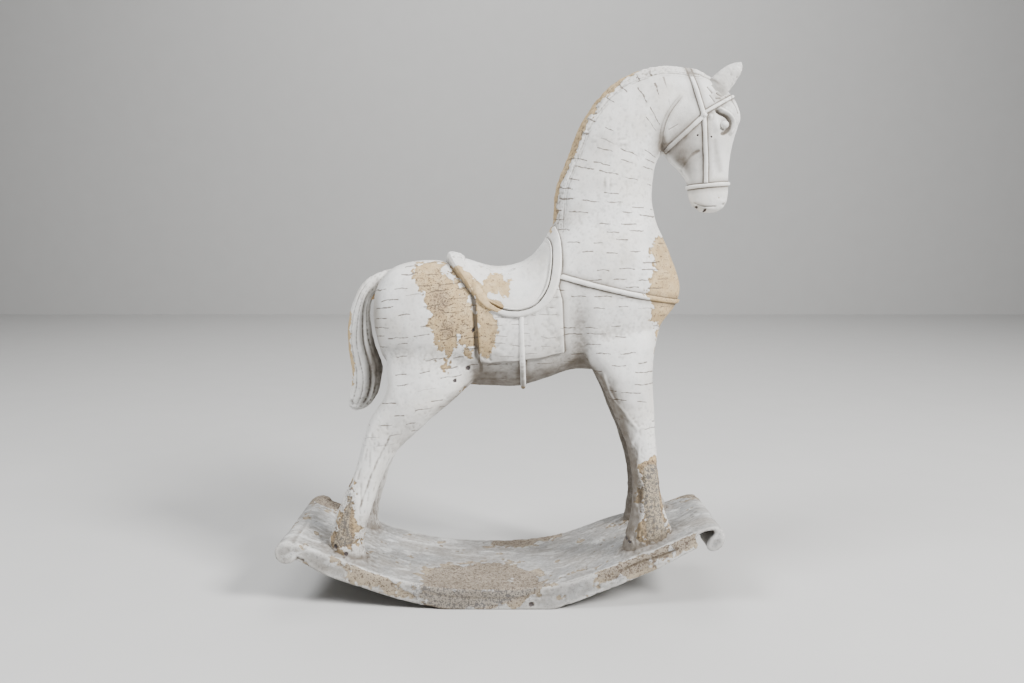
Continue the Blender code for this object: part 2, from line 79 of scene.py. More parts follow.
# Each station of a carved block joins two rails: x, z on one rail, x, z on the other, half width, centre y
TORSO = [
    (-87.2, 198, -87.2, 187, 6, 0), (-84.6, 211, -84, 174, 18, 0), (-78, 221, -79, 160, 27, 0),
    (-66, 227.6, -66, 151, 33, 0), (-46, 230, -46, 146, 35.5, 0), (-24, 226, -26, 143.5, 34.5, 0),
    (-6, 221, -6, 142.3, 33.5, 0), (11, 222.5, 12, 142.3, 33.5, 0), (26, 232, 30, 147, 33, 0),
    (40, 254, 50, 154, 32.5, 0), (62, 272, 70, 153, 32, 0), (90, 262, 88, 151, 30, 0),
    (109, 240, 101, 160, 26, 0), (119, 224, 109.5, 182.5, 18, 0), (124.2, 211, 121, 197, 7, 0)
]
NECK = [
    (33, 222, 110.5, 184, 31, 0), (35.5, 246, 124.4, 207, 29.5, 0), (37, 262, 117.6, 233, 25, 0),
    (38.5, 279, 108.6, 252, 21.5, 0), (46, 298.5, 104.2, 268, 19, 0), (57.5, 326, 104.2, 281, 17, 0),
    (78, 349, 105.5, 292, 15.5, 0), (106, 359.4, 108.5, 299, 14, 0), (133, 357.6, 116, 305, 12, 0)
]
HEAD = [
    (129, 353, 146, 351, 7, 0), (119, 346, 153.5, 343.5, 11, 0), (112.6, 334, 160, 336, 13, 0),
    (110.4, 321, 163, 325.5, 13.8, 0), (110.2, 309, 160, 314, 13.3, 0), (113.5, 298.2, 157.4, 303, 11.8, 0),
    (121.5, 290, 156.3, 293, 10.2, 0), (127, 283, 156.2, 284, 9.2, 0), (128.2, 276, 156.2, 276, 8.9, 0),
    (129.6, 269.5, 155.4, 269, 8.7, 0), (133.5, 264.8, 152.5, 264.6, 7.2, 0), (139, 261.6, 148, 261.8, 4, 0)
]
FORE_LEG = [
    (56, 174, 108, 184, 12, 19), (60.5, 160, 104.5, 168, 13.5, 21.5), (66.5, 149, 103, 153, 12.8, 24),
    (72.5, 137, 103.7, 138, 11.6, 25.5), (78.5, 122, 104.4, 122, 10.5, 26.5),
    (85.2, 107, 105.3, 107, 9.5, 27.5), (88.2, 92, 106.4, 91, 9, 28.5), (89.8, 75, 109, 74, 9, 29),
    (88.6, 58, 112, 60, 10, 29.5), (86, 47, 115.5, 50, 12, 30), (82, 30, 119, 36, 13, 30.5)
]
HIND_LEG = [
    (-72, 176, -10, 166, 11, 18), (-76.5, 160, -17, 149, 13.5, 20), (-75.5, 149, -28, 138, 13.8, 22.5),
    (-77, 139, -41, 127.5, 13, 25), (-84.5, 128, -55, 115, 11.5, 26.5), (-90, 115.5, -68.5, 102, 10, 28),
    (-93.5, 102, -76, 90, 9.3, 29), (-98, 86.5, -81.5, 78, 9, 29.5), (-104, 73.5, -85.5, 65, 9, 30),
    (-110, 59, -89.5, 52, 9.8, 30.5), (-114.5, 44, -91.5, 38, 11.8, 31), (-119, 26, -88, 20, 13, 31)
]
TAIL = [
    (-66, 225.5, -70, 216, 4, 0), (-81, 221.8, -80, 210, 5.6, 0), (-92.6, 215.5, -87.5, 205, 6.8, 0),
    (-99, 206.5, -90.2, 195, 7.2, 0), (-104, 192, -89.6, 184, 7.6, 0), (-105.6, 176, -87.4, 172, 8, 0),
    (-104.4, 162, -82.6, 159, 8.2, 0), (-103, 150, -82.6, 150, 7.6, 0), (-104.5, 138, -86, 136, 6, 0),
    (-106, 130, -92, 128.5, 4, 0), (-104.8, 125.6, -99, 125.2, 1.5, 0)
]
FORELOCK = [
    (112, 358.5, 116, 344, 8.5, 0), (124, 358.6, 124, 343, 8.5, 0), (134, 356.6, 132, 341, 8, 0),
    (143, 351.8, 139, 338, 7, 0), (151, 344.5, 147, 334, 6.2, 0), (157.5, 336, 153, 329, 5, 0)
]
EAR = [
    (138, 345.5, 147.5, 333, 4.2, 5.8), (143, 351.8, 152.3, 340.2, 4.2, 7.2),
    (149, 357, 156.4, 346, 3.5, 8.2), (154.5, 359.6, 159.8, 351.4, 2.5, 9),
    (160.2, 360.6, 161.4, 357.4, 0.9, 9.4)
]

# The left foreleg is carved further forward below this height, by this much for each millimetre down
LEFT_LEAN_TOP = 105.0
LEFT_LEAN = 0.12

# Curves of the rocker board, x and z, rear to front on the deck and front to rear under it
DECK_CURVE = [
    (-134.5, 45.6), (-105, 34.2), (-76, 22.8), (-40, 15.6), (0, 14.2), (35, 17), (65, 26), (95, 38.2),
    (120, 48.4), (134.6, 54.6)
]
UNDER_FRONT = [(131.4, 42.2), (106.8, 28.9), (76.6, 15.4), (49.4, 4.6), (36, 0)]
UNDER_REAR = [(-37, 0), (-63, 5.8), (-89, 14.2), (-112, 22.4), (-133, 33.4)]
# Outer and inner face of the curled front scroll, x and z
CURL_OUTER = [
    (118, 47.6), (127, 51.6), (134, 54.9), (139.5, 56.5), (143.6, 56.1), (147, 53.4), (148.3, 49.5),
    (147.7, 45), (145, 41.4), (141.2, 39.8), (137.6, 40.4), (136.4, 42.2)
]
CURL_INNER = [
    (137, 44.2), (138.4, 47.6), (140.6, 50.4), (141.6, 52.4), (140.6, 53.7), (137, 53.2), (131, 50.9),
    (124, 47.6), (118, 44.8)
]

# Edge of the seat, from the cantle down the left side to the pommel: x and angle round the back
SEAT_EDGE = [
    (-25, 0), (-23.5, 16), (-18.5, 33), (-12.5, 47), (-6, 60), (4, 68), (14, 69), (23, 64), (30, 52),
    (33, 38), (33.5, 24), (31, 11), (30, 0)
]
SEAT_CENTRE_X = 6
# Rear and front edges of the saddle cloth: angle round the back and x
CLOTH_REAR = [(0, -20), (60, -15.6), (127, -12.8)]
CLOTH_FRONT = [(0, 27), (40, 37), (60, 41.5), (122, 43.6)]

# Line that the painted dashes run across: up through the chest and along the neck
GRAIN_AXIS = [
    (74, -40), (74, 60), (74, 160), (75, 230), (77, 275), (86, 308), (103, 327), (135, 334), (180, 330)
]

CREAM = (0.72, 0.715, 0.70)
CREAM_WARM = (0.56, 0.52, 0.455)
CREAM_COOL = (0.48, 0.49, 0.49)
UNDERCOAT = (0.44, 0.315, 0.165)
UNDERCOAT_PALE = (0.57, 0.44, 0.26)
UNDERCOAT_DARK = (0.15, 0.11, 0.085)
FADED = (0.30, 0.28, 0.245)
FADED_LEG = (0.40, 0.36, 0.28)
UMBER = (0.075, 0.05, 0.04)
# Colour of dirt and of painted shade
DIRT_AND_SHADE = (0.090, 0.068, 0.046)
CHIP_GREY = (0.07, 0.07, 0.078)
BOARD_GREY = (0.295, 0.30, 0.30)
BOARD_WARM = (0.33, 0.30, 0.26)
BOARD_COOL = (0.48, 0.49, 0.48)
CLOTH_CREAM = (0.69, 0.68, 0.665)
FLAKE_WHITE = (0.62, 0.62, 0.61)
# Lighter colour of ridges: rubbed paint and painted highlight
WORN_AND_HIGHLIGHT_WHITE = (0.85, 0.83, 0.79)
DASH_BROWN = (0.13, 0.10, 0.075)

DASH_ROW = 6.2  # spacing of the rows of dashes
DASH_CELL = 16.0  # length of the cell that holds one dash


# ---------------------------------------------------------------- curves, noise and fields

def smooth_rows(points, count):
    """Evenly numbered points on the Catmull-Rom curve through the given ones."""
    points = np.array(points, float)
    padded = np.vstack([2 * points[0] - points[1], points, 2 * points[-1] - points[-2]])
    values = np.linspace(0, len(points) - 1, count)
    start = np.minimum(values.astype(int), len(points) - 2)
    t = (values - start)[:, None]
    a, b, c, d = (padded[start + i] for i in range(4))
    return b + 0.5 * t * (c - a + t * (2 * a - 5 * b + 4 * c - d + t * (3 * (b - c) + d - a)))


def ease(value, low, high):
    """Smooth step from 0 at low to 1 at high, or back down where high is below low."""
    t = np.clip((np.asarray(value, float) - low) / (high - low), 0, 1)
    return t * t * (3 - 2 * t)


PRIMES = np.array([73856093, 19349663, 83492791], np.uint32)


def scatter(keys):
    """A fixed random number from 0 to 1 for each whole-numbered key."""
    keys = (keys ^ (keys >> np.uint32(13))) * np.uint32(1274126177)
    return ((keys ^ (keys >> np.uint32(16))) & np.uint32(0xFFFF)).astype(np.float32) / 0xFFFF


def noise(points, size, seed=0):
    """Smooth noise from -1 to 1 whose lumps have that size, or a size for each axis."""
    scaled = (np.asarray(points, np.float32) / np.asarray(size, np.float32) + np.float32(0.37 * seed)).T
    base = np.floor(scaled)
    t = scaled - base
    t = t * t * (3 - 2 * t)
    cells = base.astype(np.int32).astype(np.uint32)
    low = cells * PRIMES[:, None]
    keys = (low, low + PRIMES[:, None])
    salt = np.uint32(seed * 7919 + 17)

    def blended(i, j):
        start, end = (scatter(keys[i][0] ^ keys[j][1] ^ keys[k][2] ^ salt) for k in (0, 1))
        return start + t[2] * (end - start)

    near, far = (blended(i, 0) + t[1] * (blended(i, 1) - blended(i, 0)) for i in (0, 1))
    return 2 * (near + t[0] * (far - near)) - 1


def rough(points, size, seed=0):
    """Three layers of noise, each half the size of the one before, between about -1 and 1."""
    turned = np.asarray(points) @ np.array([[0.8, 0.0, -0.6], [0.36, 0.8, 0.48], [0.48, -0.6, 0.64]])
    layers = [noise(turned, np.asarray(size) / 2 ** i, seed + i) / 2 ** i for i in range(3)]
    return sum(layers) / 1.4


def along(points, path, reach=None, count=24):
    """For each point: distance in x and z from a smooth curve, place along it (0 to 1) and signed distance.
    Points further than reach from the curve's box get that distance, and a whole-numbered reach makes
    the distances whole numbers too."""
    curve = smooth_rows(path, count)
    flat = points[:, [0, 2]]
    best = np.full(len(points), 1e9 if reach is None else reach)
    place, signed = np.zeros(len(points)), best.copy()
    if reach is not None:
        near = ((flat > curve.min(axis=0) - reach) & (flat < curve.max(axis=0) + reach)).all(axis=1)
        if near.any():
            best[near], place[near], signed[near] = along(points[near], path, None, count)
        return best, place, signed
    lengths = np.concatenate([[0], np.cumsum(np.linalg.norm(np.diff(curve, axis=0), axis=1))])
    for i, (start, end) in enumerate(zip(curve, curve[1:])):
        run = end - start
        size = math.hypot(*run)
        dx, dz = flat[:, 0] - start[0], flat[:, 1] - start[1]
        t = np.clip((dx * run[0] + dz * run[1]) / size ** 2, 0, 1)
        gap = np.hypot(dx - t * run[0], dz - t * run[1])
        closer = gap < best
        best[closer] = gap[closer]
        place[closer] = (lengths[i] + t[closer] * size) / lengths[-1]
        signed[closer] = np.copysign(gap, run[0] * dz - run[1] * dx)[closer]
    return best, place, signed


def groove(points, path, width, taper=0.12):
    """1 on a smooth x, z curve, falling to 0 at about twice that half width, and fading at both ends."""
    distance, place, _ = along(points, path, 3 * width)
    return np.exp(-(distance / width) ** 2) * ease(place, 0, taper) * ease(place, 1, 1 - taper)


def spot(points, centre, radius):
    """1 at an x, z place, falling to 0 round it. The radius may be a pair, in x and z."""
    scaled = (points[:, [0, 2]] - centre) / radius
    return np.exp(-(scaled ** 2).sum(axis=1))


def inside(points, outline):
    """Signed distance in x and z from a smooth closed outline, positive inside it."""
    loop = smooth_rows(list(outline) + [outline[0]], 6 * len(outline))
    flat = points[:, [0, 2]]
    best = np.full(len(points), np.inf)
    crossings = np.zeros(len(points), int)
    for start, end in zip(loop, loop[1:]):
        run = end - start
        offset = flat - start
        t = np.clip(offset @ run / (run @ run), 0, 1)
        best = np.minimum(best, np.linalg.norm(offset - t[:, None] * run, axis=1))
        spans = (start[1] > flat[:, 1]) != (end[1] > flat[:, 1])
        reach = offset[:, 0] - offset[:, 1] * run[0] / (run[1] if abs(run[1]) > 1e-9 else 1e-9)
        crossings += spans & (reach < 0)
    return np.where(crossings % 2, best, -best)


# ---------------------------------------------------------------- meshes in millimetres

def new_mesh(points, faces):
    mesh = bpy.data.meshes.new("shape")
    mesh.from_pydata([tuple(p) for p in points], [], faces)
    return mesh


def coords(mesh):
    points = np.empty(len(mesh.vertices) * 3, np.float32)
    mesh.vertices.foreach_get("co", points)
    return points.reshape(-1, 3).astype(float)


def set_coords(mesh, points):
    mesh.vertices.foreach_set("co", np.asarray(points, np.float32).ravel())
    mesh.update()


def normals(mesh):
    found = np.empty(len(mesh.vertices) * 3, np.float32)
    mesh.vertex_normals.foreach_get("vector", found)
    return found.reshape(-1, 3).astype(float)


def edge_ends(mesh):
    ends = np.empty(len(mesh.edges) * 2, np.int32)
    mesh.edges.foreach_get("vertices", ends)
    return ends.reshape(-1, 2).T


def neighbour_mean(mesh, values):
    """Mean of each vertex's neighbours' values."""
    a, b = edge_ends(mesh)
    count = len(mesh.vertices)
    degree = np.maximum(np.bincount(a, minlength=count) + np.bincount(b, minlength=count), 1)
    columns = np.atleast_2d(values.T)
    sums = [np.bincount(a, row[b], count) + np.bincount(b, row[a], count) for row in columns]
    return (np.array(sums) / degree).T.reshape(values.shape)


def relax(mesh, rounds, weight=0.5):
    """Moves each vertex towards its neighbours, by a weight that may differ from vertex to vertex."""
    points = coords(mesh)
    weight = np.broadcast_to(weight, len(points))[:, None]
    for _ in range(rounds):
        points += weight * (neighbour_mean(mesh, points) - points)
    set_coords(mesh, points)


def spread(mesh, values, rounds):
    """Values blurred over the surface."""
    for _ in range(rounds):
        values = 0.5 * values + 0.5 * neighbour_mean(mesh, values)
    return values


def with_modifier(mesh, kind, **settings):
    """The mesh after one modifier."""
    holder = bpy.data.objects.new("holder", mesh)
    bpy.context.scene.collection.objects.link(holder)
    modifier = holder.modifiers.new("made", kind)
    for name, value in settings.items():
        setattr(modifier, name, value)
    bpy.context.view_layer.update()
    made = bpy.data.meshes.new_from_object(holder.evaluated_get(bpy.context.evaluated_depsgraph_get()))
    bpy.data.objects.remove(holder)
    bpy.data.meshes.remove(mesh)
    return made


def merged(parts):
    """All the (points, faces) parts as one list of points and one of faces."""
    points, faces = [], []
    for part_points, part_faces in parts:
        faces += [[i + len(points) for i in face] for face in part_faces]
        points += list(part_points)
    return points, faces


def joined(parts, voxel):
    """One closed surface round all the (points, faces) parts."""
    return with_modifier(new_mesh(*merged(parts)), "REMESH", mode="VOXEL", voxel_size=voxel)


def tube(rings):
    """Points and faces of a closed solid through rings of points."""
    sides = len(rings[0])
    faces = []
    for row in range(len(rings) - 1):
        for i in range(sides):
            j = (i + 1) % sides
            faces.append([row * sides + i, row * sides + j, (row + 1) * sides + j, (row + 1) * sides + i])
    last = (len(rings) - 1) * sides
    faces += [list(range(sides))[::-1], list(range(last, last + sides))]
    return np.concatenate(rings), faces


def loft(stations, rows, sides, mirror=1):
    """Carved block: smooth oval rings between two rails."""
    turns = 2 * np.pi * np.arange(sides) / sides
    lengthways = np.cos(turns)
    across = np.copysign(np.abs(np.sin(turns)) ** 0.9, np.sin(turns))
    rings = []
    for ax, az, bx, bz, half_width, middle_y in smooth_rows(stations, rows):
        x = (ax + bx) / 2 + lengthways * (bx - ax) / 2
        z = (az + bz) / 2 + lengthways * (bz - az) / 2
        rings.append(np.column_stack([x, mirror * (middle_y + across * half_width), z]))
    return outward_facing(*tube(rings))


def leaning(stations):
    """The stations of the left foreleg, whose foot stands further forward."""
    def shift(z):
        return LEFT_LEAN * max(0.0, LEFT_LEAN_TOP - z)

    return [(ax + shift(az), az, bx + shift(bz), bz, width, y) for ax, az, bx, bz, width, y in stations]


def outward_facing(points, faces):
    """The same solid with its faces turned to point out."""
    corners = np.array([[points[face[0]], points[face[i]], points[face[i + 1]]]
                        for face in faces for i in range(1, len(face) - 1)])
    if np.linalg.det(corners).sum() < 0:
        faces = [face[::-1] for face in faces]
    return points, faces


def slab(outline, low_y, high_y, rows=2):
    """Solid between two y values whose x, z outline is the same all along."""
    rings = [np.array([(x, y, z) for x, z in outline]) for y in np.linspace(low_y, high_y, rows)]
    return outward_facing(*tube(rings))


# ---------------------------------------------------------------- pieces

def add_fields(mesh, facing, extra, board=False):
    """Stores the fields that the paint reads, worked out from where the surface is, with extra added."""
    points = coords(mesh)
    fields = paint_fields(points, facing, board)
    hollow = surface_hollow(mesh, points, facing)
    # Painted shade: creases darken the more hollow they are
    fields["grime_and_shade"] = fields["grime_and_shade"] + np.clip((0.45 if board else 1.1) * hollow, 0, 1)
    # Ridges lighter: partly rubbed paint, partly painted highlight
    fields["wear_and_highlight"] = np.clip(-hollow, 0, 1)
    for name, values in extra.items():
        fields[name] = fields[name] + values
    for name, values in fields.items():
        write_field(mesh, name, values if name.startswith("mark_") else np.clip(values, 0, 1))


def surface_hollow(mesh, points, facing):
    """How hollow the surface is over about a millimetre, from below 0 on ridges to above 0 in creases."""
    smoothed = points
    for _ in range(4):
        smoothed = 0.5 * smoothed + 0.5 * neighbour_mean(mesh, smoothed)
    depth = ((smoothed - points) * facing).sum(axis=1)
    return spread(mesh, depth, 2) / HOLLOW_DEPTH


def publish(name, mesh, finish):
    """Places a finished millimetre mesh in the scene as the piece for the CAD node of that name."""
    kept = read_field(mesh, "facing") if "facing" in mesh.attributes else None
    set_coords(mesh, coords(mesh) * MM)
    mesh.name = name
    mesh.shade_smooth()
    if kept is not None:
        mesh.attributes.remove(mesh.attributes["facing"])
        kept = kept / np.maximum(np.linalg.norm(kept, axis=1), 1e-6)[:, None]
        mesh.normals_split_custom_set_from_vertices(kept.tolist())
    mesh.materials.clear()
    mesh.materials.append(finish)
    piece = bpy.data.objects.new(name, mesh)
    bpy.context.scene.collection.objects.link(piece)
    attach(piece, "root")
    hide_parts(name)
    return piece


def height_over(points, seam):
    """Distance of points from a seam's plane, above 0 on the side that its direction points to."""
    (x, z), (nx, nz) = seam
    return ((points[..., 0] - x) * nx + (points[..., 2] - z) * nz) / math.hypot(nx, nz)


def cut_along(mesh, seams):
    """Adds an edge loop where each seam's plane crosses the faces whose middle passes its test."""
    centres = np.empty(len(mesh.polygons) * 3, np.float32)
    mesh.polygons.foreach_get("center", centres)
    centres = centres.reshape(-1, 3)
    close = np.minimum.reduce([np.abs(height_over(centres, seam)) for seam, _ in seams]) < SEAM_REACH
    bm = bmesh.new()
    bm.from_mesh(mesh)
    bm.faces.ensure_lookup_table()
    pool = {bm.faces[i] for i in np.flatnonzero(close)}
    for seam, test in seams:
        middles = [(face, face.calc_center_median()) for face in pool]
        cut = {face for face, middle in middles
               if abs(height_over(np.array(middle), seam)) < SEAM_REACH and test(middle)}
        geometry = {item for face in cut for item in (face, *face.edges, *face.verts)}
        (x, z), (nx, nz) = seam
        made = bmesh.ops.bisect_plane(bm, geom=list(geometry), plane_co=(x, 0, z), plane_no=(nx, 0, nz),
                                      dist=1e-4)
        pool = (pool - cut) | {item for item in made["geom"] if isinstance(item, bmesh.types.BMFace)}
    bm.to_mesh(mesh)
    bm.free()


def boundary_loops(starts, ends):
    """Closed loops of vertices along directed edges."""
    following = dict(zip(starts.tolist(), ends.tolist()))
    loops = []
    while following:
        loop = [next(iter(following))]
        while loop[-1] in following:
            loop.append(following.pop(loop[-1]))
        loops.append(loop[:-1])
    return loops


def parts_of(mesh, seams, label_of):
    """The mesh cut along seams and parted by the label of each face's middle, with the holes capped.
    Every number stored on its vertices goes with them."""
    cut_along(mesh, seams)
    points = coords(mesh)
    starts, totals = (np.empty(len(mesh.polygons), np.int32) for _ in range(2))
    mesh.polygons.foreach_get("loop_start", starts)
    mesh.polygons.foreach_get("loop_total", totals)
    corners = np.empty(len(mesh.loops), np.int32)
    mesh.loops.foreach_get("vertex_index", corners)
    owner = np.repeat(np.arange(len(totals)), totals)
    following = np.arange(len(corners)) + 1
    following[starts + totals - 1] = starts
    sums = np.column_stack([np.bincount(owner, points[corners, axis]) for axis in range(3)])
    centres = sums / totals[:, None]
    labels = label_of(centres)
    stored = [layer.name for layer in mesh.attributes if layer.domain == "POINT"
              and layer.data_type in ("FLOAT", "FLOAT_VECTOR") and layer.name != "position"]
    fields = {name: read_field(mesh, name) for name in stored}
    made = {}
    for label in sorted(set(labels)):
        kept = labels == label
        inside_part = kept[owner]
        one, other = corners[inside_part], corners[following[inside_part]]
        both = set(zip(one.tolist(), other.tolist()))
        rim = np.array([(b, a) for a, b in both if (b, a) not in both])
        caps = boundary_loops(*rim.T) if len(rim) else []
        used, index = np.unique(one, return_inverse=True)
        caps = [np.searchsorted(used, loop) for loop in caps]
        sizes = np.concatenate([totals[kept], [len(cap) for cap in caps]]).astype(np.int32)
        part = bpy.data.meshes.new(label)
        part.vertices.add(len(used))
        part.loops.add(int(sizes.sum()))
        part.polygons.add(len(sizes))
        part.vertices.foreach_set("co", points[used].astype(np.float32).ravel())
        part.loops.foreach_set("vertex_index", np.concatenate([index.ravel(), *caps]).astype(np.int32))
        first = np.concatenate([[0], np.cumsum(sizes)[:-1]])
        part.polygons.foreach_set("loop_start", first.astype(np.int32))
        part.update(calc_edges=True)
        for name, values in fields.items():
            write_field(part, name, values[used])
        made[label] = part
    return made


def write_field(mesh, name, values):
    kind, key = ("FLOAT", "value") if values.ndim == 1 else ("FLOAT_VECTOR", "vector")
    layer = mesh.attributes.get(name) or mesh.attributes.new(name, kind, "POINT")
    layer.data.foreach_set(key, np.ascontiguousarray(values, np.float32).ravel())


def read_field(mesh, name):
    layer = mesh.attributes[name]
    wide = layer.data_type == "FLOAT_VECTOR"
    values = np.empty(len(mesh.vertices) * (3 if wide else 1), np.float32)
    layer.data.foreach_get("vector" if wide else "value", values)
    return values.reshape(-1, 3) if wide else values


def round_torso(angle):
    """Direction at that many degrees from straight up towards the left."""
    turn = math.radians(angle)
    return Vector((0, math.sin(turn), math.cos(turn)))


class Skin:
    """A sculpted surface that other pieces lie on."""

    def __init__(self, mesh):
        faces = [tuple(face.vertices) for face in mesh.polygons]
        self.tree = BVHTree.FromPolygons([tuple(point) for point in coords(mesh)], faces)

    def hit(self, inner, outward, reach):
        """The surface point reached when coming in from reach outside the inner point."""
        found = self.tree.ray_cast(Vector(inner) + outward * reach, -outward)[0]
        if found is None:
            raise ValueError(f"no surface towards {tuple(inner)}")
        return found

    def round_back(self, x, angle):
        """Surface point and outward direction at x and at an angle from straight up round the torso."""
        outward = round_torso(angle)
        return self.hit((x, 0, TORSO_AXIS_Z), outward, BODY_REACH), outward

    def gap(self, points, most):
        """Distance of each point from the surface, at most that much."""
        found = np.full(len(points), float(most))
        for i, point in enumerate(points):
            distance = self.tree.find_nearest(point, most)[3]
            if distance is not None:
                found[i] = distance
        return found

    def depth(self, points):
        """How far each point lies under the surface, below 0 where it is outside."""
        found = np.empty(len(points))
        for i, point in enumerate(points):
            place, normal, _, _ = self.tree.find_nearest(point)
            found[i] = (place - Vector(point)).dot(normal)
        return found


# ---------------------------------------------------------------- paint, as fields over the surface

CREST = [
    (35.5, 240), (37, 262), (38.5, 279), (46, 298.5), (57.5, 326), (78, 349), (106, 359.4), (133, 357.6)
]
JAW_EDGE = [(122.3, 339.8), (114.5, 330.1), (110, 321.7), (108.2, 312.6), (109, 303.4)]
EYE_CREASE = [
    (142.4, 329.4), (146.2, 326.6), (149.8, 325.4), (152.9, 323.3), (154.1, 319.8), (152.6, 316),
    (149.4, 313.8), (146.6, 313.6)
]
UPPER_LID = [(144.3, 330.6), (149.1, 328.6), (153.6, 326.2), (156.6, 322.1), (156.4, 317.5), (153.5, 313)]
BROW = [(146, 335), (152, 334), (157, 331.5), (160.5, 327), (161, 320)]
FORELOCK_EDGE = [(153.6, 341), (154.9, 338), (156.4, 334.4), (158.6, 331), (160.4, 326.5)]
POLL_CREASE = [(124, 353.8), (133.6, 353.1), (141.7, 349.2), (147.1, 345.3)]
MOUTH = [(131.5, 269), (136, 266.4), (141, 265.6), (147.5, 266)]

# Bare patches: side (-1 right, 1 left, 0 both), how dark and pitted they are, and their x, z outline
BARE_PATCHES = [
    (-1, 0.42, [(-63, 218), (-52, 226), (-39, 227), (-30, 215), (-20, 210), (-17, 199), (-15, 172),
        (-18, 162), (-31, 161), (-37, 157), (-39, 169), (-45, 173), (-43, 180), (-47, 187), (-53, 198),
        (-54, 207)]),
    (-1, 0.3, [(-16, 202), (-6, 197), (-1, 190), (0, 180), (-6, 169), (-12, 165), (-17, 172)]),
    (-1, 0.15, [(-10, 222), (0, 223), (10, 217), (6, 209), (-2, 206), (-9, 210)]),
    (0, 0.25, [(105, 248), (103, 239), (99, 229), (101, 219), (97, 207), (103, 201), (102, 195), (105, 186),
        (104, 166), (118, 166), (130, 190), (135, 220), (125, 250)]),
    (-1, 0.9, [(-104, 86), (-97, 84), (-94, 70), (-96, 55), (-94, 40), (-114, 38), (-110, 56), (-105, 70)]),
    (-1, 0.9, [(92, 95), (100, 99), (109, 93), (112, 62), (117, 44), (97, 40), (93, 60), (91, 80)]),
    (1, 0.6, [(-72, 200), (-64, 211), (-50, 218), (-38, 211), (-43, 203), (-33, 194), (-41, 186),
        (-40, 174), (-49, 178), (-52, 164), (-59, 172), (-57, 184), (-67, 188)]),
    (1, 0.25, [(22, 186), (32, 192), (37, 201), (48, 190), (43, 178), (49, 166), (40, 152), (33, 161),
        (28, 158), (30, 171)]),
    (1, 0.2, [(57, 303), (68, 313), (72, 304), (80, 301), (74, 291), (78, 279), (68, 283), (61, 270),
        (62, 286), (53, 290)]),
    (1, 0.9, [(-106, 78), (-96, 76), (-94, 58), (-96, 40), (-114, 40), (-110, 60)]),
    (1, 0.9, [(90, 84), (98, 88), (107, 80), (110, 60), (106, 44), (94, 46)]),
]
# On the board's right and left side faces
SIDE_PATCHES = [
    (-1, 0.85, [(-60, 24), (-48, 24), (-20, 20), (10, 18), (26, 20), (30, 14), (20, 6), (-10, -3),
        (-40, -3), (-57, 6)]),
    (-1, 0.75, [(61, 28), (72, 33), (90, 42), (110, 50), (128, 57), (128, 42), (110, 33), (92, 24),
        (78, 17), (64, 20)]),
    (-1, 0.55, [(-104, 40), (-90, 34), (-76, 26), (-62, 18), (-66, 9), (-84, 14), (-104, 26)]),
    (1, 0.7, [(-96, 34), (-60, 24), (-30, 20), (-30, -2), (-62, 0), (-96, 14)]),
    (1, 0.7, [(40, 22), (64, 30), (92, 40), (92, 22), (66, 8), (44, 0)]),
]
# On the deck, in x and y
DECK_PATCHES = [
    (0.75, [(-58, -58), (-52, -30), (-46, -14), (-30, -3), (-8, 4), (9, 0), (17, -14), (27, -20), (31, -36),
        (31, -58)]),
    (0.7, [(-14, 58), (-10, 38), (6, 30), (28, 34), (46, 42), (56, 47), (58, 58)]),
    (0.75, [(-155, 28), (-136, 26), (-120, 32), (-118, 58), (-155, 58)]),
    (0.7, [(134, 36), (146, 32), (160, 36), (160, 58), (136, 58)]),
]
# Bare streaks: side, half width and x, z path
BARE_STREAKS = [
    (0, 3.6, [(34, 246), (37, 279), (46, 299), (57, 326), (78, 350), (97, 358)]),
    (-1, 4.2, [(-33, 225), (-24, 219), (-16, 213), (-10, 203), (4, 198)]),
    (0, 3.2, [(-104, 200), (-106, 184), (-106, 168), (-105, 150), (-106, 138)]),
    (0, 2.2, [(-30, 143), (10, 141), (40, 148)]),
]
# Dark chips on the right side: x, z and radius
DARK_CHIPS = [
    (-21, 158, 1.7), (-29.5, 150, 1.4), (21, 3.5, 2), (-17.3, 184, 1.3), (-102, 35.5, 1.6),
    (-109, 40, 1.8), (85, 43, 1.6), (87.5, 42, 1.2), (131.7, 312.4, 0.8), (141, 311.4, 0.7),
    (134, 265.3, 1.4), (139.5, 263.4, 1.2), (126.4, 281.8, 1.3)
]
# Settled dirt and painted shade in hollows, creases and under parts, on both sides of the horse: x, z
# place, radii and amount
SHADE_AND_DIRT_SPOTS = [
    ((151.5, 319), (2.6, 4.6), 0.3), ((109.3, 305), (2.8, 6), 1.2), ((123, 302), (12, 19), 0.75),
    ((106, 311), (4.5, 14), 0.4), ((80, 110), (6, 22), 0.7), ((90, 76), (3.5, 26), 0.6),
    ((140.4, 326.9), (2, 0.9), 0.4), ((152.4, 267.2), (1.6, 1.2), 0.6),
    ((133.5, 265.5), (3.4, 1.6), 0.6), ((139.5, 263.5), (2, 1.3), 0.6), ((127.3, 281), (1.8, 5), 0.8),
    ((123, 291), (5, 9), 0.45), ((53, 182), (8, 26), 0.42), ((-14, 152), (8, 7), 0.4),
    ((60, 154), (10, 8), 0.4), ((147, 343), (6, 5), 0.4), ((144, 338), (4, 3), 0.4),
    ((70, 136), (9, 16), 0.5), ((-62, 116), (12, 16), 0.25), ((-86, 166), (4, 28), 0.35),
    ((-83, 192), (3, 22), 0.5)
]
# Painted shade and dirt along creases, edges and the crest: path, half width and amount
SHADE_AND_DIRT_LINES = [
    (JAW_EDGE, 2.2, 0.4), ([(109, 304), (117, 297), (124, 289), (127, 281)], 2.4, 0.7),
    ([(-18, 214), (-17, 200), (-16.2, 180), (-15, 162)], 1.0, 0.45), (CREST, 4.2, 0.2),
    (EYE_CREASE, 1.0, 1.9), (FORELOCK_EDGE, 0.6, 0.8), (POLL_CREASE, 0.9, 0.6),
    ([(134.1, 303), (128.5, 299.5)], 1.0, 0.5), ([(143, 312), (145.6, 300), (149.3, 287)], 2.0, 0.3)
]


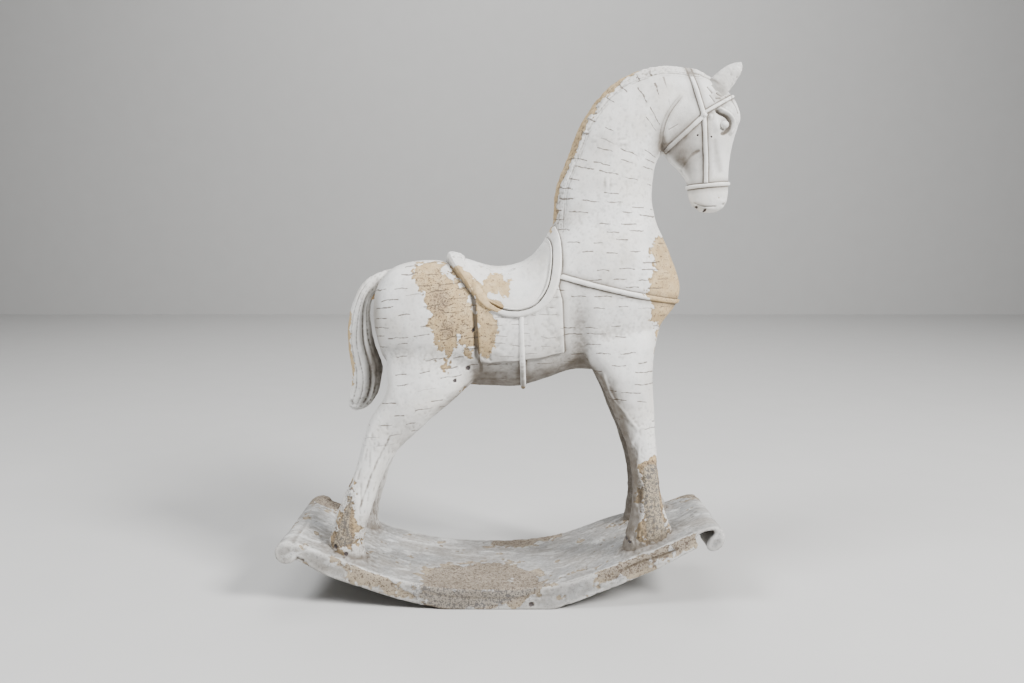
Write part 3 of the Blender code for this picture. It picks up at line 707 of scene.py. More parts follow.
def paint_fields(points, facing, board=False):
    """Bare undercoat, dark chips, pits, and dirt with painted shade from 0 to 1, and where the painted
    dashes run.
    """
    x, y, z = points.T
    ragged = 0.36 * rough(points, 9.0, 5) + 0.26 * rough(points, 2.8, 11)
    bare = (0.04 if board else -0.02) + (0.1 + 0.26 * rough(points, 11.0, 31)) * ease(z, 66, 30)
    pits = np.full(len(points), 0.12) + 0.3 * ease(z, 80, 50)
    if board:
        deck_view = np.column_stack([x, z, y])
        level = np.abs(facing[:, 1]) < 0.6
        patches = [(side, dark, points, outline, ~level) for side, dark, outline in SIDE_PATCHES]
        patches += [(0, dark, deck_view, outline, level) for dark, outline in DECK_PATCHES]
    else:
        patches = [(side, dark, points, outline, True) for side, dark, outline in BARE_PATCHES]
    for side, dark, place, outline, reached in patches:
        low, high = np.min(outline, axis=0) - 12, np.max(outline, axis=0) + 12
        flat = place[:, [0, 2]]
        near = ((flat > low) & (flat < high)).all(axis=1)
        near &= side * y > -1 if side else near
        near &= reached
        if not near.any():
            continue
        depth = inside(place[near], outline)
        turned_away = 0 if board or not side else 0.7 * ease(side * facing[near, 1], 0.15, -0.45)
        covered = 0.5 + np.clip((depth - 0.8) / (22 if board else 17), -0.5, 0.5) - turned_away
        bare[near] = np.maximum(bare[near], covered)
        pits[near] = np.maximum(pits[near], dark * ease(depth, -4, 6))
    if not board:
        flaked = 0.6 * spot(points, (-27, 174), (5, 11)) + 0.5 * spot(points, (-51, 202), (4.5, 11))
        bare -= flaked * (y < 0)
    for side, width, path in BARE_STREAKS:
        distance, place, _ = along(points, path, width + 8)
        value = 0.5 + np.clip((width * ease(place, 0, 0.1) * ease(place, 1, 0.9) - distance) / 7, -0.5, 0.5)
        bare = np.maximum(bare, value if side == 0 else np.where(side * y > 0, value, 0))
    dark = np.zeros(len(points))
    for cx, cz, radius in DARK_CHIPS:
        wobble = radius * (1 + 0.5 * rough(points, 1.5 * radius, 17))
        dark = np.maximum(dark, np.where(y < 0, ease(np.hypot(x - cx, z - cz), wobble, 0.6 * wobble), 0))
    centre = 0.74 * np.maximum(spot(points, (-39, 203), (12, 17)), 0.9 * spot(points, (-34, 185), (11, 13)))
    pits = np.maximum(pits, np.where(y < 0, centre, 0))
    # Painted shade: darker where the underside faces down (partly dirt), on the rear faces of the forelegs
    # and on faces turned in between the legs; darker also towards the hooves
    belly = 0.95 * ease(facing[:, 2], -0.1, -0.85) * ease(z, 120, 140) * ease(z, 184, 160)
    inner = 1.2 * ease(-facing[:, 0], 0.15, 0.85) * ease(x, 40, 60) * ease(z, 170, 140)
    inner += 0.6 * ease(np.sign(y) * facing[:, 1], 0.1, -0.6) * ease(z, 170, 150)
    grime_and_shade = belly + 0.75 * inner + 0.25 * ease(z, 70, 44) + 0.14 * rough(points, 22.0, 41)
    if board:
        grime_and_shade = 0.12 + 0.25 * rough(points, (26.0, 8.0, 8.0), 43)
    broad = ease(np.abs(y), 4, 9)
    for place, radii, amount in SHADE_AND_DIRT_SPOTS:
        grime_and_shade += amount * spot(points, place, radii) * broad
    for path, width, amount in SHADE_AND_DIRT_LINES:
        grime_and_shade += amount * groove(points, path, width) * broad
    _, place, signed = along(points, GRAIN_AXIS, None, 150)
    rise = 0.13 * np.minimum(x + 5, 0)
    marks = ease(z, 96, 128) * ease(np.abs(y), 4, 9) * ease(x, 116, 106)
    marks *= 1 - 0.5 * belly
    length = np.linalg.norm(np.diff(smooth_rows(GRAIN_AXIS, 150), axis=0), axis=1).sum()
    return {
        "bare": np.clip(bare + (1.4 if board else 1.0) * ragged, 0, 1),
        "dark": dark,
        "pits": np.clip(pits, 0, 1),
        "grime_and_shade": np.clip(grime_and_shade, 0, 1),
        "marks": 0 * marks if board else marks,
        "mark_u": signed + np.where(y > 0, 7.0, 0.0),
        "mark_v": place * length - rise + np.where(y > 0, 3.1, 0.0),
    }


# ---------------------------------------------------------------- the carved figure

# Relief on the head: x, z place, radii in x and z, and height
HEAD_SPOTS = [
    ((121, 317), (8, 11), 0.9), ((150.4, 319.4), (3.6, 4.4), -2.2), ((144.6, 319), (2.4, 4), 1.2),
    ((140.3, 324.6), (1.1, 1.6), 0.9), ((144, 301), (3, 12), -0.45), ((149.8, 298), (3.4, 12), 0.35),
    ((134, 294), (4, 7), -0.4), ((152.4, 267.2), (1.5, 1.1), -1.1), ((150, 269.5), (2.4, 1.6), 0.45),
    ((133, 268), (3, 3), 0.5), ((152.5, 276), (4, 4), 0.3), ((131, 344), (7, 4), 0.5)
]
# Grooves (below 0) and ridges on the head: path, half width and height
HEAD_LINES = [
    (UPPER_LID, 1.2, 1.5), (EYE_CREASE, 0.85, -2.3), (BROW, 1.8, 0.7), (MOUTH, 0.6, -0.7),
    ([(134.1, 303), (128.5, 299.5), (123, 290), (126, 282)], 1.5, -0.6), (POLL_CREASE, 0.7, -0.7),
    (FORELOCK_EDGE, 0.7, -1.2), ([(143.5, 340.5), (147.5, 338.5), (151, 341)], 0.8, -0.8),
    ([(143, 336.5), (147, 336.8)], 0.7, -0.6), ([(137.5, 344.5), (141.5, 339.5)], 0.6, -0.5),
    ([(141, 346), (144.5, 341.5)], 0.6, -0.55), ([(139, 339), (143, 333.5)], 0.5, -0.4),
    ([(146, 335), (149.5, 334)], 0.5, -0.4), ([(150, 338.5), (152.5, 335.5)], 0.5, -0.45),
    ([(110, 306), (116, 309)], 0.5, -0.3), ([(112, 316), (119, 320)], 0.4, -0.25)
]
# Relief on the body and legs
BODY_SPOTS = [
    ((53, 184), (7, 24), -1.7), ((109, 196), (5, 6), 2.4), ((100, 208), (8, 5), -0.5),
    ((-56, 196), (20, 22), 0.5), ((-66, 158), (7, 8), -0.5), ((-72, 222), (9, 5), 0.8),
    ((86, 180), (14, 18), 0.5), ((71.7, 280), (1.2, 3.4), 0.55), ((81, 307.5), (2.8, 1.1), 0.5),
    ((63.5, 310), (1.6, 1.2), 0.4), ((92, 114), (4, 8), -0.4), ((64, 262), (7, 20), -0.4),
    ((95, 262), (8, 20), 0.3), ((-8, 150), (16, 5), -0.5)
]
BODY_LINES = [
    ([(-18, 216), (-16.8, 200), (-15.8, 180), (-15, 162)], 1.7, -1.1),
    ([(-14, 166), (-12, 158), (-15, 150), (-26, 141)], 1.6, -0.7),
    ([(68, 158), (74, 141), (84, 128), (93, 117)], 1.2, 0.7),
    ([(92.5, 118), (86, 101), (91, 72), (88, 46)], 1.6, 0.5),
    ([(72, 148), (79, 134), (90, 121)], 1.1, -0.35), ([(96, 96), (99, 74), (100, 50)], 1.4, 0.4),
    ([(-84, 122), (-92, 96), (-101, 70), (-106, 46)], 1.2, 0.45),
    ([(-70, 118), (-84, 90), (-94, 62)], 1.1, -0.4)
]


def relief(points, spots, lines):
    height = np.zeros(len(points))
    for centre, radius, amount in spots:
        height += amount * spot(points, centre, radius)
    for path, width, amount in lines:
        height += amount * groove(points, path, width)
    return height


def build_figure():
    """The whole carved horse as one smooth surface, before it is parted into its blocks."""
    blocks = [loft(TORSO, 60, 64), loft(NECK, 50, 56), loft(HEAD, 50, 48), loft(FORELOCK, 40, 40)]
    for side, _ in SIDES:
        fore_leg = leaning(FORE_LEG) if side > 0 else FORE_LEG
        blocks += [loft(fore_leg, 50, 40, side), loft(HIND_LEG, 50, 40, side)]
    mesh = joined(blocks, FIGURE_VOXEL)
    points = coords(mesh)
    x, _, z = points.T
    joints = np.maximum.reduce([spot(points, (84, 168), (32, 32)), spot(points, (-48, 158), (36, 26)),
                                spot(points, (60, 240), (60, 26))])
    relax(mesh, 60, 0.12 + 0.38 * joints * ease(z, 100, 120) * ease(x, 135, 110))
    mesh = with_modifier(mesh, "SUBSURF", levels=1, render_levels=1)
    bm = bmesh.new()
    bm.from_mesh(mesh)
    head = [edge for edge in bm.edges
            if (edge.verts[0].co.x + edge.verts[1].co.x) / 2 > FINER_FROM[0]
            and (edge.verts[0].co.z + edge.verts[1].co.z) / 2 > FINER_FROM[1]]
    bmesh.ops.subdivide_edges(bm, edges=head, cuts=1, use_grid_fill=True)
    bm.to_mesh(mesh)
    bm.free()
    points = coords(mesh)
    relax(mesh, 3, 0.5 * ease(points[:, 0], 104, 108) * ease(points[:, 2], 252, 260))
    return mesh


def sculpt_figure(mesh):
    """Adds the carving and the loss of paint to the smooth figure."""
    points, out = coords(mesh), normals(mesh)
    x, y, z = points.T
    sideways = ease(np.abs(out[:, 1]), 0.12, 0.5)
    on_head = ease(x, 104, 110) * ease(z, 255, 261)
    height = 0.3 * rough(points, 15.0, 3) + 0.10 * rough(points, 4.0, 8) + 0.05 * rough(points, 1.6, 9)
    height *= 1 - 0.45 * on_head

    height += sideways * (1 - on_head) * relief(points, BODY_SPOTS, BODY_LINES)
    legs = ease(z, 132, 96)
    grain = 0.35 * noise(points, (3.0, 3.0, 17.0), 21) + 0.15 * noise(points, (1.5, 1.5, 8.0), 22)
    height += legs * grain
    flaked = 1 - np.abs(rough(points, (7.0, 7.0, 16.0), 24)) * 5
    height += ease(z, 150, 124) * 0.14 * np.clip(flaked, 0, 1)
    height += 0.5 * ease(z, 60, 46) * rough(points, 3.6, 23)

    crest, place, _ = along(points, CREST, 16)
    strip = ease(crest, 6.8, 4.4) * ease(place, 0.02, 0.08)
    height += strip * (0.3 + 0.2 * rough(points, 6.0, 33) + 0.42 * rough(points, 3.0, 34))
    edge = crest - 6.0 - 1.2 * noise(points, (6.0, 6.0, 6.0), 35)
    height -= 0.22 * np.exp(-(edge / 1.2) ** 2) * ease(place, 0.02, 0.08) * sideways

    face = on_head * ease(np.abs(y), 1.0, 3.5)
    height += face * relief(points, HEAD_SPOTS, HEAD_LINES)
    gap, place, signed = along(points, JAW_EDGE, 24)
    ends = ease(place, 0, 0.2) * ease(z, 298, 303)
    jaw = 0.65 * ease(signed, -0.8, 1.6) * np.exp(-(np.maximum(signed, 0) / 8) ** 2)
    height += np.where(gap < 20, jaw, 0) * ends * sideways * ease(np.abs(y), 3, 6)
    height -= 1.5 * spot(points, (109.0, 305), (1.6, 4.0)) * sideways

    points = points + height[:, None] * out
    fields = paint_fields(points, out)
    lost = PAINT_DEPTH * ease(fields["bare"], BARE_FROM, BARE_TO) + CHIP_DEPTH * fields["dark"]
    points -= lost[:, None] * out
    set_coords(mesh, points)


def label_figure(centres):
    """Name of the block that each place on the figure belongs to."""
    x, y, z = centres.T
    labels = np.full(len(centres), "torso", object)
    labels[height_over(centres, NECK_SEAM) > 0] = "neck"
    labels[(height_over(centres, HEAD_SEAM) > 0) & (x > HEAD_REARMOST) & (z > HEAD_LOWEST)] = "head"
    for name, seam, reach in (("fore", FORE_SEAM, x > 58), ("hind", HIND_SEAM, x < -14)):
        leg = (height_over(centres, seam) > 0) & reach
        labels[leg & (y > 0)] = f"{name}_left_leg"
        labels[leg & (y <= 0)] = f"{name}_right_leg"
    return labels


FIGURE_SEAMS = [
    (HEAD_SEAM, lambda place: place.x > HEAD_REARMOST - 3 and place.z > HEAD_LOWEST),
    (((HEAD_REARMOST, 0), (1, 0)), lambda place: place.z > HEAD_LOWEST),
    (NECK_SEAM, lambda place: place.z > 180),
    (FORE_SEAM, lambda place: place.x > 58),
    (HIND_SEAM, lambda place: place.x < -14),
]


def make_figure(figure, tack_skin, board_skin, paint):
    """Parts the sculpted figure into its blocks, with feet that stop just under the deck."""
    points, out = coords(figure), normals(figure)
    low = points[:, 2] < FEET_BELOW
    # Painted shade where the tack lies on the body and where the hooves meet the deck
    gap = tack_skin.gap(points, 4.0)
    contact_shade = 0.85 * ease(gap, 1.3, 0.2) + 0.25 * ease(gap, 4.0, 1.0)
    contact_shade[low] = 0.75 * ease(board_skin.gap(points[low], 5.0), 5.0, 0.0)
    add_fields(figure, out, {"grime_and_shade": contact_shade})
    write_field(figure, "facing", out)
    points[low, 2] += np.maximum(board_skin.depth(points[low]) - BURIED, 0)
    set_coords(figure, points)
    for name, mesh in parts_of(figure, FIGURE_SEAMS, label_figure).items():
        publish(name, mesh, paint)


# ---------------------------------------------------------------- tack

def shell(high, low, closed=False):
    """Closed solid between two grids of points; closed joins the last row to the first."""
    rings = np.concatenate([np.array(high), np.array(low)[:, ::-1]], axis=1)
    if not closed:
        return outward_facing(*tube(list(rings)))
    rows, sides = rings.shape[:2]
    faces = [[row * sides + i, row * sides + (i + 1) % sides,
              (row + 1) % rows * sides + (i + 1) % sides, (row + 1) % rows * sides + i]
             for row in range(rows) for i in range(sides)]
    return outward_facing(rings.reshape(-1, 3), faces)


STRAP_STEPS = np.linspace(-1, 1, 13)
STRAY = 0.1  # how unevenly the straps are carved


def strap(skin, aims, width, height, reach=30.0, closed=False, seed=0):
    """Rounded, slightly uneven strap that hugs the surface along (inner point, outward direction) aims.
    The height may be one for each aim."""
    count = len(aims)
    heights = np.broadcast_to(height, count)
    feet = [skin.hit(inner, outward, reach) for inner, outward in aims]
    inners = np.array([foot[:] for foot in feet])
    uneven = rough(inners, 5.0, seed)
    high, low = [], []
    for i, (inner, outward) in enumerate(aims):
        before = feet[(i - 3) % count if closed else max(i - 3, 0)]
        after = feet[(i + 3) % count if closed else min(i + 3, count - 1)]
        side = outward.cross(after - before).normalized()
        high_row, low_row = [], []
        for step in STRAP_STEPS:
            foot = skin.hit(inner + side * (width / 2 * step * (1 + STRAY * uneven[i])), outward, reach)
            crown = heights[i] * (1 + 1.6 * STRAY * uneven[i]) + BURIED
            rise = crown * math.sqrt(1 - abs(step) ** 3) - BURIED
            high_row.append(foot + outward * rise)
            low_row.append(foot - outward * 1.6 * BURIED)
        high.append(high_row)
        low.append(low_row)
    return shell(high, low, closed)


def aims_round(centre, first, second, turns):
    """Aims from a centre, in directions cos * first + sin * second."""
    centre, first, second = Vector(centre), Vector(first).normalized(), Vector(second).normalized()
    turns = np.radians(turns)
    return [(centre, math.cos(turn) * first + math.sin(turn) * second) for turn in turns]


def side_aims(points, side, count):
    """Aims straight out sideways at points on a smooth x, z curve."""
    return [(Vector((x, 0, z)), Vector((0, side, 0))) for x, z in smooth_rows(points, count)]


def build_bridle(skin):
    """Node name to (points, faces) of the straps of the bridle."""
    made = {}
    for side, word in SIDES:
        cheek = [(135.8, 325), (137.2, 307), (138.3, 296), (139, 281.5)]
        made[f"cheek_strap_{word}"] = strap(skin, side_aims(cheek, side, 70), 2.9, 1.3, seed=1)
        jaw = [(135.2, 324.8), (122.5, 313), (114.6, 305.6), (111.5, 302.5)]
        made[f"throat_lash_{word}"] = strap(skin, side_aims(jaw, side, 60), 3.0, 1.5, seed=2)
        foot = skin.hit((135.6, 0, 325.4), Vector((0, side, 0)), 30.0)
        profile = [(0.3, -1.2), (1.9, -1.2), (2.0, 0.9), (1.8, 1.6), (1.3, 2.2), (0.8, 2.6), (0.2, 2.8)]
        made[f"bridle_rosette_{word}"] = turned(foot, Vector((0, side, 0)), profile)
    turns = np.linspace(-122, 122, 170)
    headpiece = aims_round((132.8, 0, 335), (-0.3, 0, 1), (0, 1, 0), turns)
    made["headpiece"] = strap(skin, headpiece, 3.1, 0.15 + 1.3 * ease(np.abs(turns), 20, 34), seed=3)
    browband = aims_round((140, 0, 329.5), (0.87, 0, 0.5), (0, 1, 0), np.linspace(-106, 106, 190))
    made["browband"] = strap(skin, browband, 2.4, 1.3, seed=4)
    noseband = aims_round((142, 0, 280), (1, 0, 0.09), (0, 1, 0), np.linspace(0, 360, 180, endpoint=False))
    made["noseband"] = strap(skin, noseband, 2.9, 1.3, closed=True, seed=5)
    return made


def turned(foot, outward, profile, sides=40):
    """Turned knob: (radius, height) rings round a direction, slightly uneven."""
    frame_turn = outward.to_track_quat("Z", "Y").to_matrix()
    rings = []
    for radius, height in smooth_rows(profile, 4 * len(profile)):
        ring = []
        for i in range(sides):
            turn = 2 * math.pi * i / sides
            uneven = 1 + 0.05 * math.sin(3 * turn + height) + 0.03 * math.sin(7 * turn)
            wobble = max(radius, 0.05) * uneven
            out = Vector((wobble * math.cos(turn), wobble * math.sin(turn), height))
            ring.append(foot + frame_turn @ out)
        rings.append(np.array([p[:] for p in ring]))
    return outward_facing(*tube(rings))


def build_body_straps(skin):
    """Girth under the belly, and the breast strap, whose height follows a curve in x."""
    aims = []
    for turn in np.linspace(70, 290, 420):
        lean = np.interp(abs(turn - 180), (0, 96), (16.5, 14.5))
        aims.append((Vector((lean, 0, TORSO_AXIS_Z)), round_torso(turn)))
    girth = strap(skin, aims, 4.0, 3.4, 80.0, seed=6)

    aims = []
    for turn in np.linspace(-137, 137, 420):
        outward = Vector((math.cos(math.radians(turn)), math.sin(math.radians(turn)), 0))
        height = 211.0
        for _ in range(4):
            x = skin.hit((CHEST_X, 0, height), outward, BODY_REACH).x
            height = 218.6 - 0.29 * (x - 43) + 0.0009 * (x - 43) ** 2
        aims.append((Vector((CHEST_X, 0, height)), outward))
    return {"girth_strap": girth, "breast_strap": strap(skin, aims, 3.4, 1.7, BODY_REACH, seed=7)}


CLOTH_FOLDS = [
    ([(33, 199), (37, 189), (42.5, 178)], 1.8, 0.25), ([(27, 190), (34, 183), (43, 174)], 2.2, -0.2),
    ([(-12, 176), (-4, 172), (6, 168)], 2.0, 0.25)
]


def build_cloth(skin, rows=260, columns=90, thickness=1.9, edge=0.9):
    """Cloth over the back, whose rim turns down to the carved surface."""
    feet, outs, rims = [], [], []
    for drop in np.linspace(-1, 1, rows):
        for across in np.linspace(0, 1, columns):
            angle = drop * (CLOTH_REAR[-1][0] * (1 - across) + CLOTH_FRONT[-1][0] * across)
            angle += 0.8 * math.copysign(math.sin(11 * across), drop) * drop ** 4
            rear = np.interp(abs(angle), *zip(*CLOTH_REAR))
            front = np.interp(abs(angle), *zip(*CLOTH_FRONT))
            foot, outward = skin.round_back(rear + (front - rear) * across, angle)
            feet.append(foot[:])
            outs.append(outward[:])
            rims.append(min((1 - abs(drop)) * CLOTH_DROP, across * (front - rear),
                            (1 - across) * (front - rear)))
    feet, outs, rims = np.array(feet), np.array(outs), np.clip(np.array(rims) / edge, 0, 1)
    lumps = 0.22 * rough(feet, 9.0, 51) + 0.08 * rough(feet, 2.4, 52) + relief(feet, [], CLOTH_FOLDS)
    hem = 0.25 * np.exp(-((rims * edge - edge) / 0.5) ** 2)
    rise = (thickness + lumps + hem) * np.sqrt(1 - (1 - rims) ** 2) - 0.4 * (rims == 0)
    high = (feet + rise[:, None] * outs).reshape(rows, columns, 3)
    low = (feet - BURIED * 1.4 * outs).reshape(rows, columns, 3)
    return shell(high, low)


def seat_edge(count):
    """Whole edge of the seat, from the cantle down the left and back up the right: x and angle."""
    left = smooth_rows(SEAT_EDGE, count)
    return np.concatenate([left, left[-2:0:-1] * (1, -1)])


def build_seat(skin, count=170):
    """Leather-shaped seat, a little hollow, whose rim drops to the cloth."""
    loop = seat_edge(count)
    profile = [(0.03, -0.4), (0.5, -0.4), (1.03, -0.4), (1.04, 1.5), (1.03, 3.3), (1.0, 4.4), (0.96, 4.9)]
    profile += [(scale, 5.1 - 0.5 * (1 - scale)) for scale in np.linspace(0.92, 0.03, 46)]
    rings = []
    for scale, height in profile:
        ring = []
        for x, angle in loop:
            foot, outward = skin.round_back(SEAT_CENTRE_X + (x - SEAT_CENTRE_X) * scale, angle * scale)
            ring.append((foot + outward * height)[:])
        ring = np.array(ring)
        if height > 4:
            ring[:, 2] += 0.3 * rough(ring, 7.0, 61) + 0.1 * rough(ring, 2.0, 62)
        rings.append(ring)
    return outward_facing(*tube(rings))


ROLL_STEPS = 30  # points across the roll
# Places along the roll, from the cantle to the pommel: width, height of the band and height of the bead
ROLL_PLACES = (0, 0.1, 0.22, 0.34, 0.42, 0.6, 0.8, 0.93, 1)
ROLL_WIDTHS = (12.5, 9.5, 7.2, 7.2, 6.6, 6.8, 8.6, 7.4, 5.5)
BAND_HEIGHTS = (7.6, 6.0, 5.4, 5.2, 4.9, 4.8, 5.0, 5.4, 5.0)
BEAD_HEIGHTS = (7.6, 6.0, 5.4, 5.0, 5.9, 6.0, 6.1, 6.2, 5.4)


def build_roll(skin, side, count=260):
    """One half of the thick roll round the seat: a thin bead inside a broad, flat band."""
    edge = smooth_rows(SEAT_EDGE, count)
    arc = np.column_stack([edge[:, 0], np.radians(edge[:, 1]) * BACK_RADIUS])
    run = np.gradient(arc, axis=0)
    length = np.concatenate([[0], np.cumsum(np.linalg.norm(np.diff(arc, axis=0), axis=1))])
    outward_run = np.column_stack([-run[:, 1], run[:, 0]]) / np.linalg.norm(run, axis=1)[:, None]
    high, low = [], []
    for i in range(count):
        place = length[i] / length[-1]
        width = np.interp(place, ROLL_PLACES, ROLL_WIDTHS)
        band = np.interp(place, ROLL_PLACES, BAND_HEIGHTS)
        bead = np.interp(place, ROLL_PLACES, BEAD_HEIGHTS)
        beaded = ease(place, 0.36, 0.42) * ease(place, 1.0, 0.93)
        high_row, low_row = [], []
        for across in np.linspace(0, 1, ROLL_STEPS):
            offset = across * width - 0.6
            domed = band * (1 - 0.16 * (2 * across - 1) ** 2)
            bead_part = bead * math.sqrt(max(0, 1 - ((offset - 0.5) / 1.0) ** 2)) if offset < 1.5 else 0
            band_part = domed * ease(offset, 1.5, 2.3) + 3.0 * (1 - ease(offset, 1.5, 2.3))
            rise = beaded * max(bead_part, band_part) + (1 - beaded) * domed
            rise *= math.sqrt(max(0, 1 - max(0, (across - 0.86) / 0.14) ** 2))
            rise *= math.sqrt(max(0, 1 - max(0, (0.08 - across) / 0.08) ** 2))
            x, s = arc[i] + outward_run[i] * offset
            angle = max(math.degrees(s / BACK_RADIUS), 0.25)
            foot, outward = skin.round_back(x, side * angle)
            high_row.append((foot + outward * max(rise, -0.4))[:])
            low_row.append((foot - outward * 0.6)[:])
        high.append(high_row)
        low.append(low_row)
    high = np.array(high)
    flat = high.reshape(-1, 3)
    knob = ease(np.array(ROLL_PLACES[1]) - np.repeat(length / length[-1], ROLL_STEPS), -0.05, 0.08)
    lumps = 0.25 * rough(flat, 5.0, 71) + 0.12 * rough(flat, 1.8, 72) + knob * 0.9 * rough(flat, 3.6, 73)
    flat[:, 2] += lumps
    return shell(flat.reshape(high.shape), low)


# ---------------------------------------------------------------- head and tail pieces

def build_ear(side):
    """Leaf-shaped ear with a shallow hollow on its outer face."""
    mesh = new_mesh(*loft(EAR, 70, 56, side))
    points, out = coords(mesh), normals(mesh)
    hollow = groove(points, [(149, 343), (154, 347), (159, 354)], 2.6, 0.3) * ease(out[:, 0], 0.0, 0.6)
    height = 0.3 * rough(points, 4.0, 81) + 0.16 * rough(points, 1.5, 82) - 1.0 * hollow
    set_coords(mesh, points + height[:, None] * out)
    return mesh


EYE_PLACE = (150, 11.5, 319.5)
EYE_RADIUS = 2.75


def build_eye(side):
    """Plain carved eyeball, slightly flattened from above."""
    centre = Vector((EYE_PLACE[0], side * EYE_PLACE[1], EYE_PLACE[2]))
    rings = []
    for tilt in np.linspace(-math.pi / 2 + 0.06, math.pi / 2 - 0.06, 40):
        ring = []
        for turn in np.linspace(0, 2 * math.pi, 64, False):
            out = Vector((math.cos(tilt) * math.cos(turn), math.cos(tilt) * math.sin(turn),
                          0.94 * math.sin(tilt)))
            ring.append((centre + EYE_RADIUS * out)[:])
        rings.append(np.array(ring))
    mesh = new_mesh(*outward_facing(*tube(rings)))
    points, out = coords(mesh), normals(mesh)
    set_coords(mesh, points + (0.05 * rough(points, 1.2, 83))[:, None] * out)
    return mesh


TAIL_STRANDS = [(-0.62, 0.10, 0.6), (-0.1, 0.06, 0.3), (0.42, 0.19, 2.4), (0.78, 0.08, 0.5)]


def build_tail():
    """Tail in thick strands, whose root is sunk in the rump."""
    rows, sides = 230, 150
    points, faces = loft(TAIL, rows, sides)
    mesh = new_mesh(points, faces)
    out = normals(mesh)
    lengthways = np.cos(2 * np.pi * np.tile(np.arange(sides), rows) / sides)
    place = np.repeat(np.linspace(0, 1, rows), sides)
    sway = 0.16 * np.sin(7 * place + 0.6) + 0.05 * np.sin(19 * place)
    height = np.zeros(len(points))
    for centre, width, depth in TAIL_STRANDS:
        deep = ease(place, 0.1, 0.3) * ease(place, 1.0, 0.78)
        height -= depth * deep * np.exp(-((lengthways - centre - sway * (1 - abs(centre))) / width) ** 2)
    hair = 0.45 * rough(points, 6.0, 84) + 0.12 * noise(points, (1.6, 1.6, 9.0), 85)
    height += hair + 0.15 * rough(points, 1.8, 86)
    ragged = ease(points[:, 2], 140, 128)
    height += ragged * 1.1 * rough(points, 4.0, 87)
    set_coords(mesh, points + height[:, None] * out)
    return mesh


# ---------------------------------------------------------------- rocker board

def warp_board(points):
    """The far end of the front scroll droops and that of the rear scroll rides up a little."""
    points = np.array(points, float)
    x, y = points[:, 0], points[:, 1]
    over = (y + HALF_BOARD) / (2 * HALF_BOARD)
    front, rear = ease(x, 70, 142), ease(x, -80, -140)
    points[:, 0] += 4.5 * front * over
    points[:, 2] += over * (2.5 * rear - 6.0 * front)
    return points


def build_board():
    """Plank, solid rear scroll and curled front scroll as one surface, softened by wear."""
    deck = smooth_rows(DECK_CURVE, 90)
    deck = deck[deck[:, 0] < 129.6]
    under = np.vstack([smooth_rows(UNDER_FRONT, 40), smooth_rows(UNDER_REAR, 40)])
    plank = slab([*deck.tolist(), *under.tolist()], -HALF_BOARD, HALF_BOARD, 14)
    curl_outline = np.vstack([smooth_rows(CURL_OUTER, 60), smooth_rows(CURL_INNER, 44)])
    curl = slab(curl_outline.tolist(), -HALF_BOARD, HALF_BOARD, 14)
    rings = []
    for y in np.linspace(-HALF_BOARD, HALF_BOARD, 30):
        over = (y + HALF_BOARD) / (2 * HALF_BOARD)
        radius = 7.7 + 3.6 * over ** 1.5
        x, z = -140.2 + 3.2 * over, 38.3 - 2.4 * over
        rings.append(np.array([(x + radius * math.cos(t), y, z + radius * math.sin(t))
                               for t in np.linspace(0, 2 * math.pi, 60, False)]))
    roll = outward_facing(*tube(rings))
    parts = [(warp_board(points), faces) for points, faces in (plank, curl, roll)]
    mesh = joined(parts, BOARD_VOXEL)
    relax(mesh, 7, 0.5)
    return mesh


BOARD_LINES = [
    ([(80, 26.5), (92, 32), (106, 36.5), (119, 42)], 0.7, -1.0),
    ([(-134, 35.5), (-128, 33)], 1.2, -1.0), ([(-112, 38), (-104, 35.5)], 0.8, -0.6),
    ([(-60, 14), (-30, 9), (10, 8), (40, 11)], 0.7, -0.25)
]


def sculpt_board(mesh, figure_skin):
    """Uneven hand-worn faces, chipped edges and paint gathered round the feet."""
    points, out = coords(mesh), normals(mesh)
    x, y, z = points.T
    on_side = ease(np.abs(out[:, 1]), 0.5, 0.9)
    on_deck = ease(out[:, 2], 0.4, 0.8)
    off_ground = ease(z, 0.4, 2.5)
    height = 0.32 * rough(points, 12.0, 91) + 0.12 * rough(points, 3.6, 92) + 0.04 * rough(points, 1.8, 93)
    height += 0.12 * on_deck * noise(points, (30.0, 3.0, 4.0), 94)
    height += np.where(y < 0, on_side * relief(points, [], BOARD_LINES), 0)
    rim = np.maximum.reduce([1 - np.abs(out).max(axis=1), np.zeros(len(x))]) * 3
    height -= 0.9 * np.clip(rim, 0, 1) * ease(rough(points, 5.0, 95), 0.05, 0.6)
    near = (np.abs(x) > FEET_BEYOND) & (z > 20) & (on_deck > 0)
    feet = np.zeros(len(x))
    feet[near] = ease(figure_skin.gap(points[near], 5.0), 5.0, 0.0) * on_deck[near]
    height += feet * (1.3 + 0.7 * rough(points, 3.0, 96))
    points = points + (height * off_ground)[:, None] * out
    fields = paint_fields(points, out, board=True)
    lost = 1.2 * PAINT_DEPTH * ease(fields["bare"], BARE_FROM, BARE_TO) + fields["dark"]
    points -= (off_ground * lost)[:, None] * out
    points[:, 2] = np.maximum(points[:, 2], 0)
    set_coords(mesh, points)


def label_board(centres):
    labels = np.full(len(centres), "rocker_board", object)
    labels[centres[:, 0] < REAR_SCROLL_X] = "rear_scroll"
    labels[centres[:, 0] > FRONT_SCROLL_X] = "front_scroll"
    return labels


BOARD_SEAMS = [(((x, 0), (1, 0)), lambda place: True) for x in (REAR_SCROLL_X, FRONT_SCROLL_X)]


def make_board(board, figure_skin, paint):
    points, out = coords(board), normals(board)
    contact_shade = np.zeros(len(points))
    near = np.abs(points[:, 0]) > FEET_BEYOND
    # Painted shade round the hooves on the deck
    contact_shade[near] = ease(figure_skin.gap(points[near], 4.0), 4.0, 0.2)
    add_fields(board, out, {"grime_and_shade": 0.6 * contact_shade}, board=True)
    write_field(board, "facing", out)
    for name, mesh in parts_of(board, BOARD_SEAMS, label_board).items():
        publish(name, mesh, paint)


# ---------------------------------------------------------------- materials

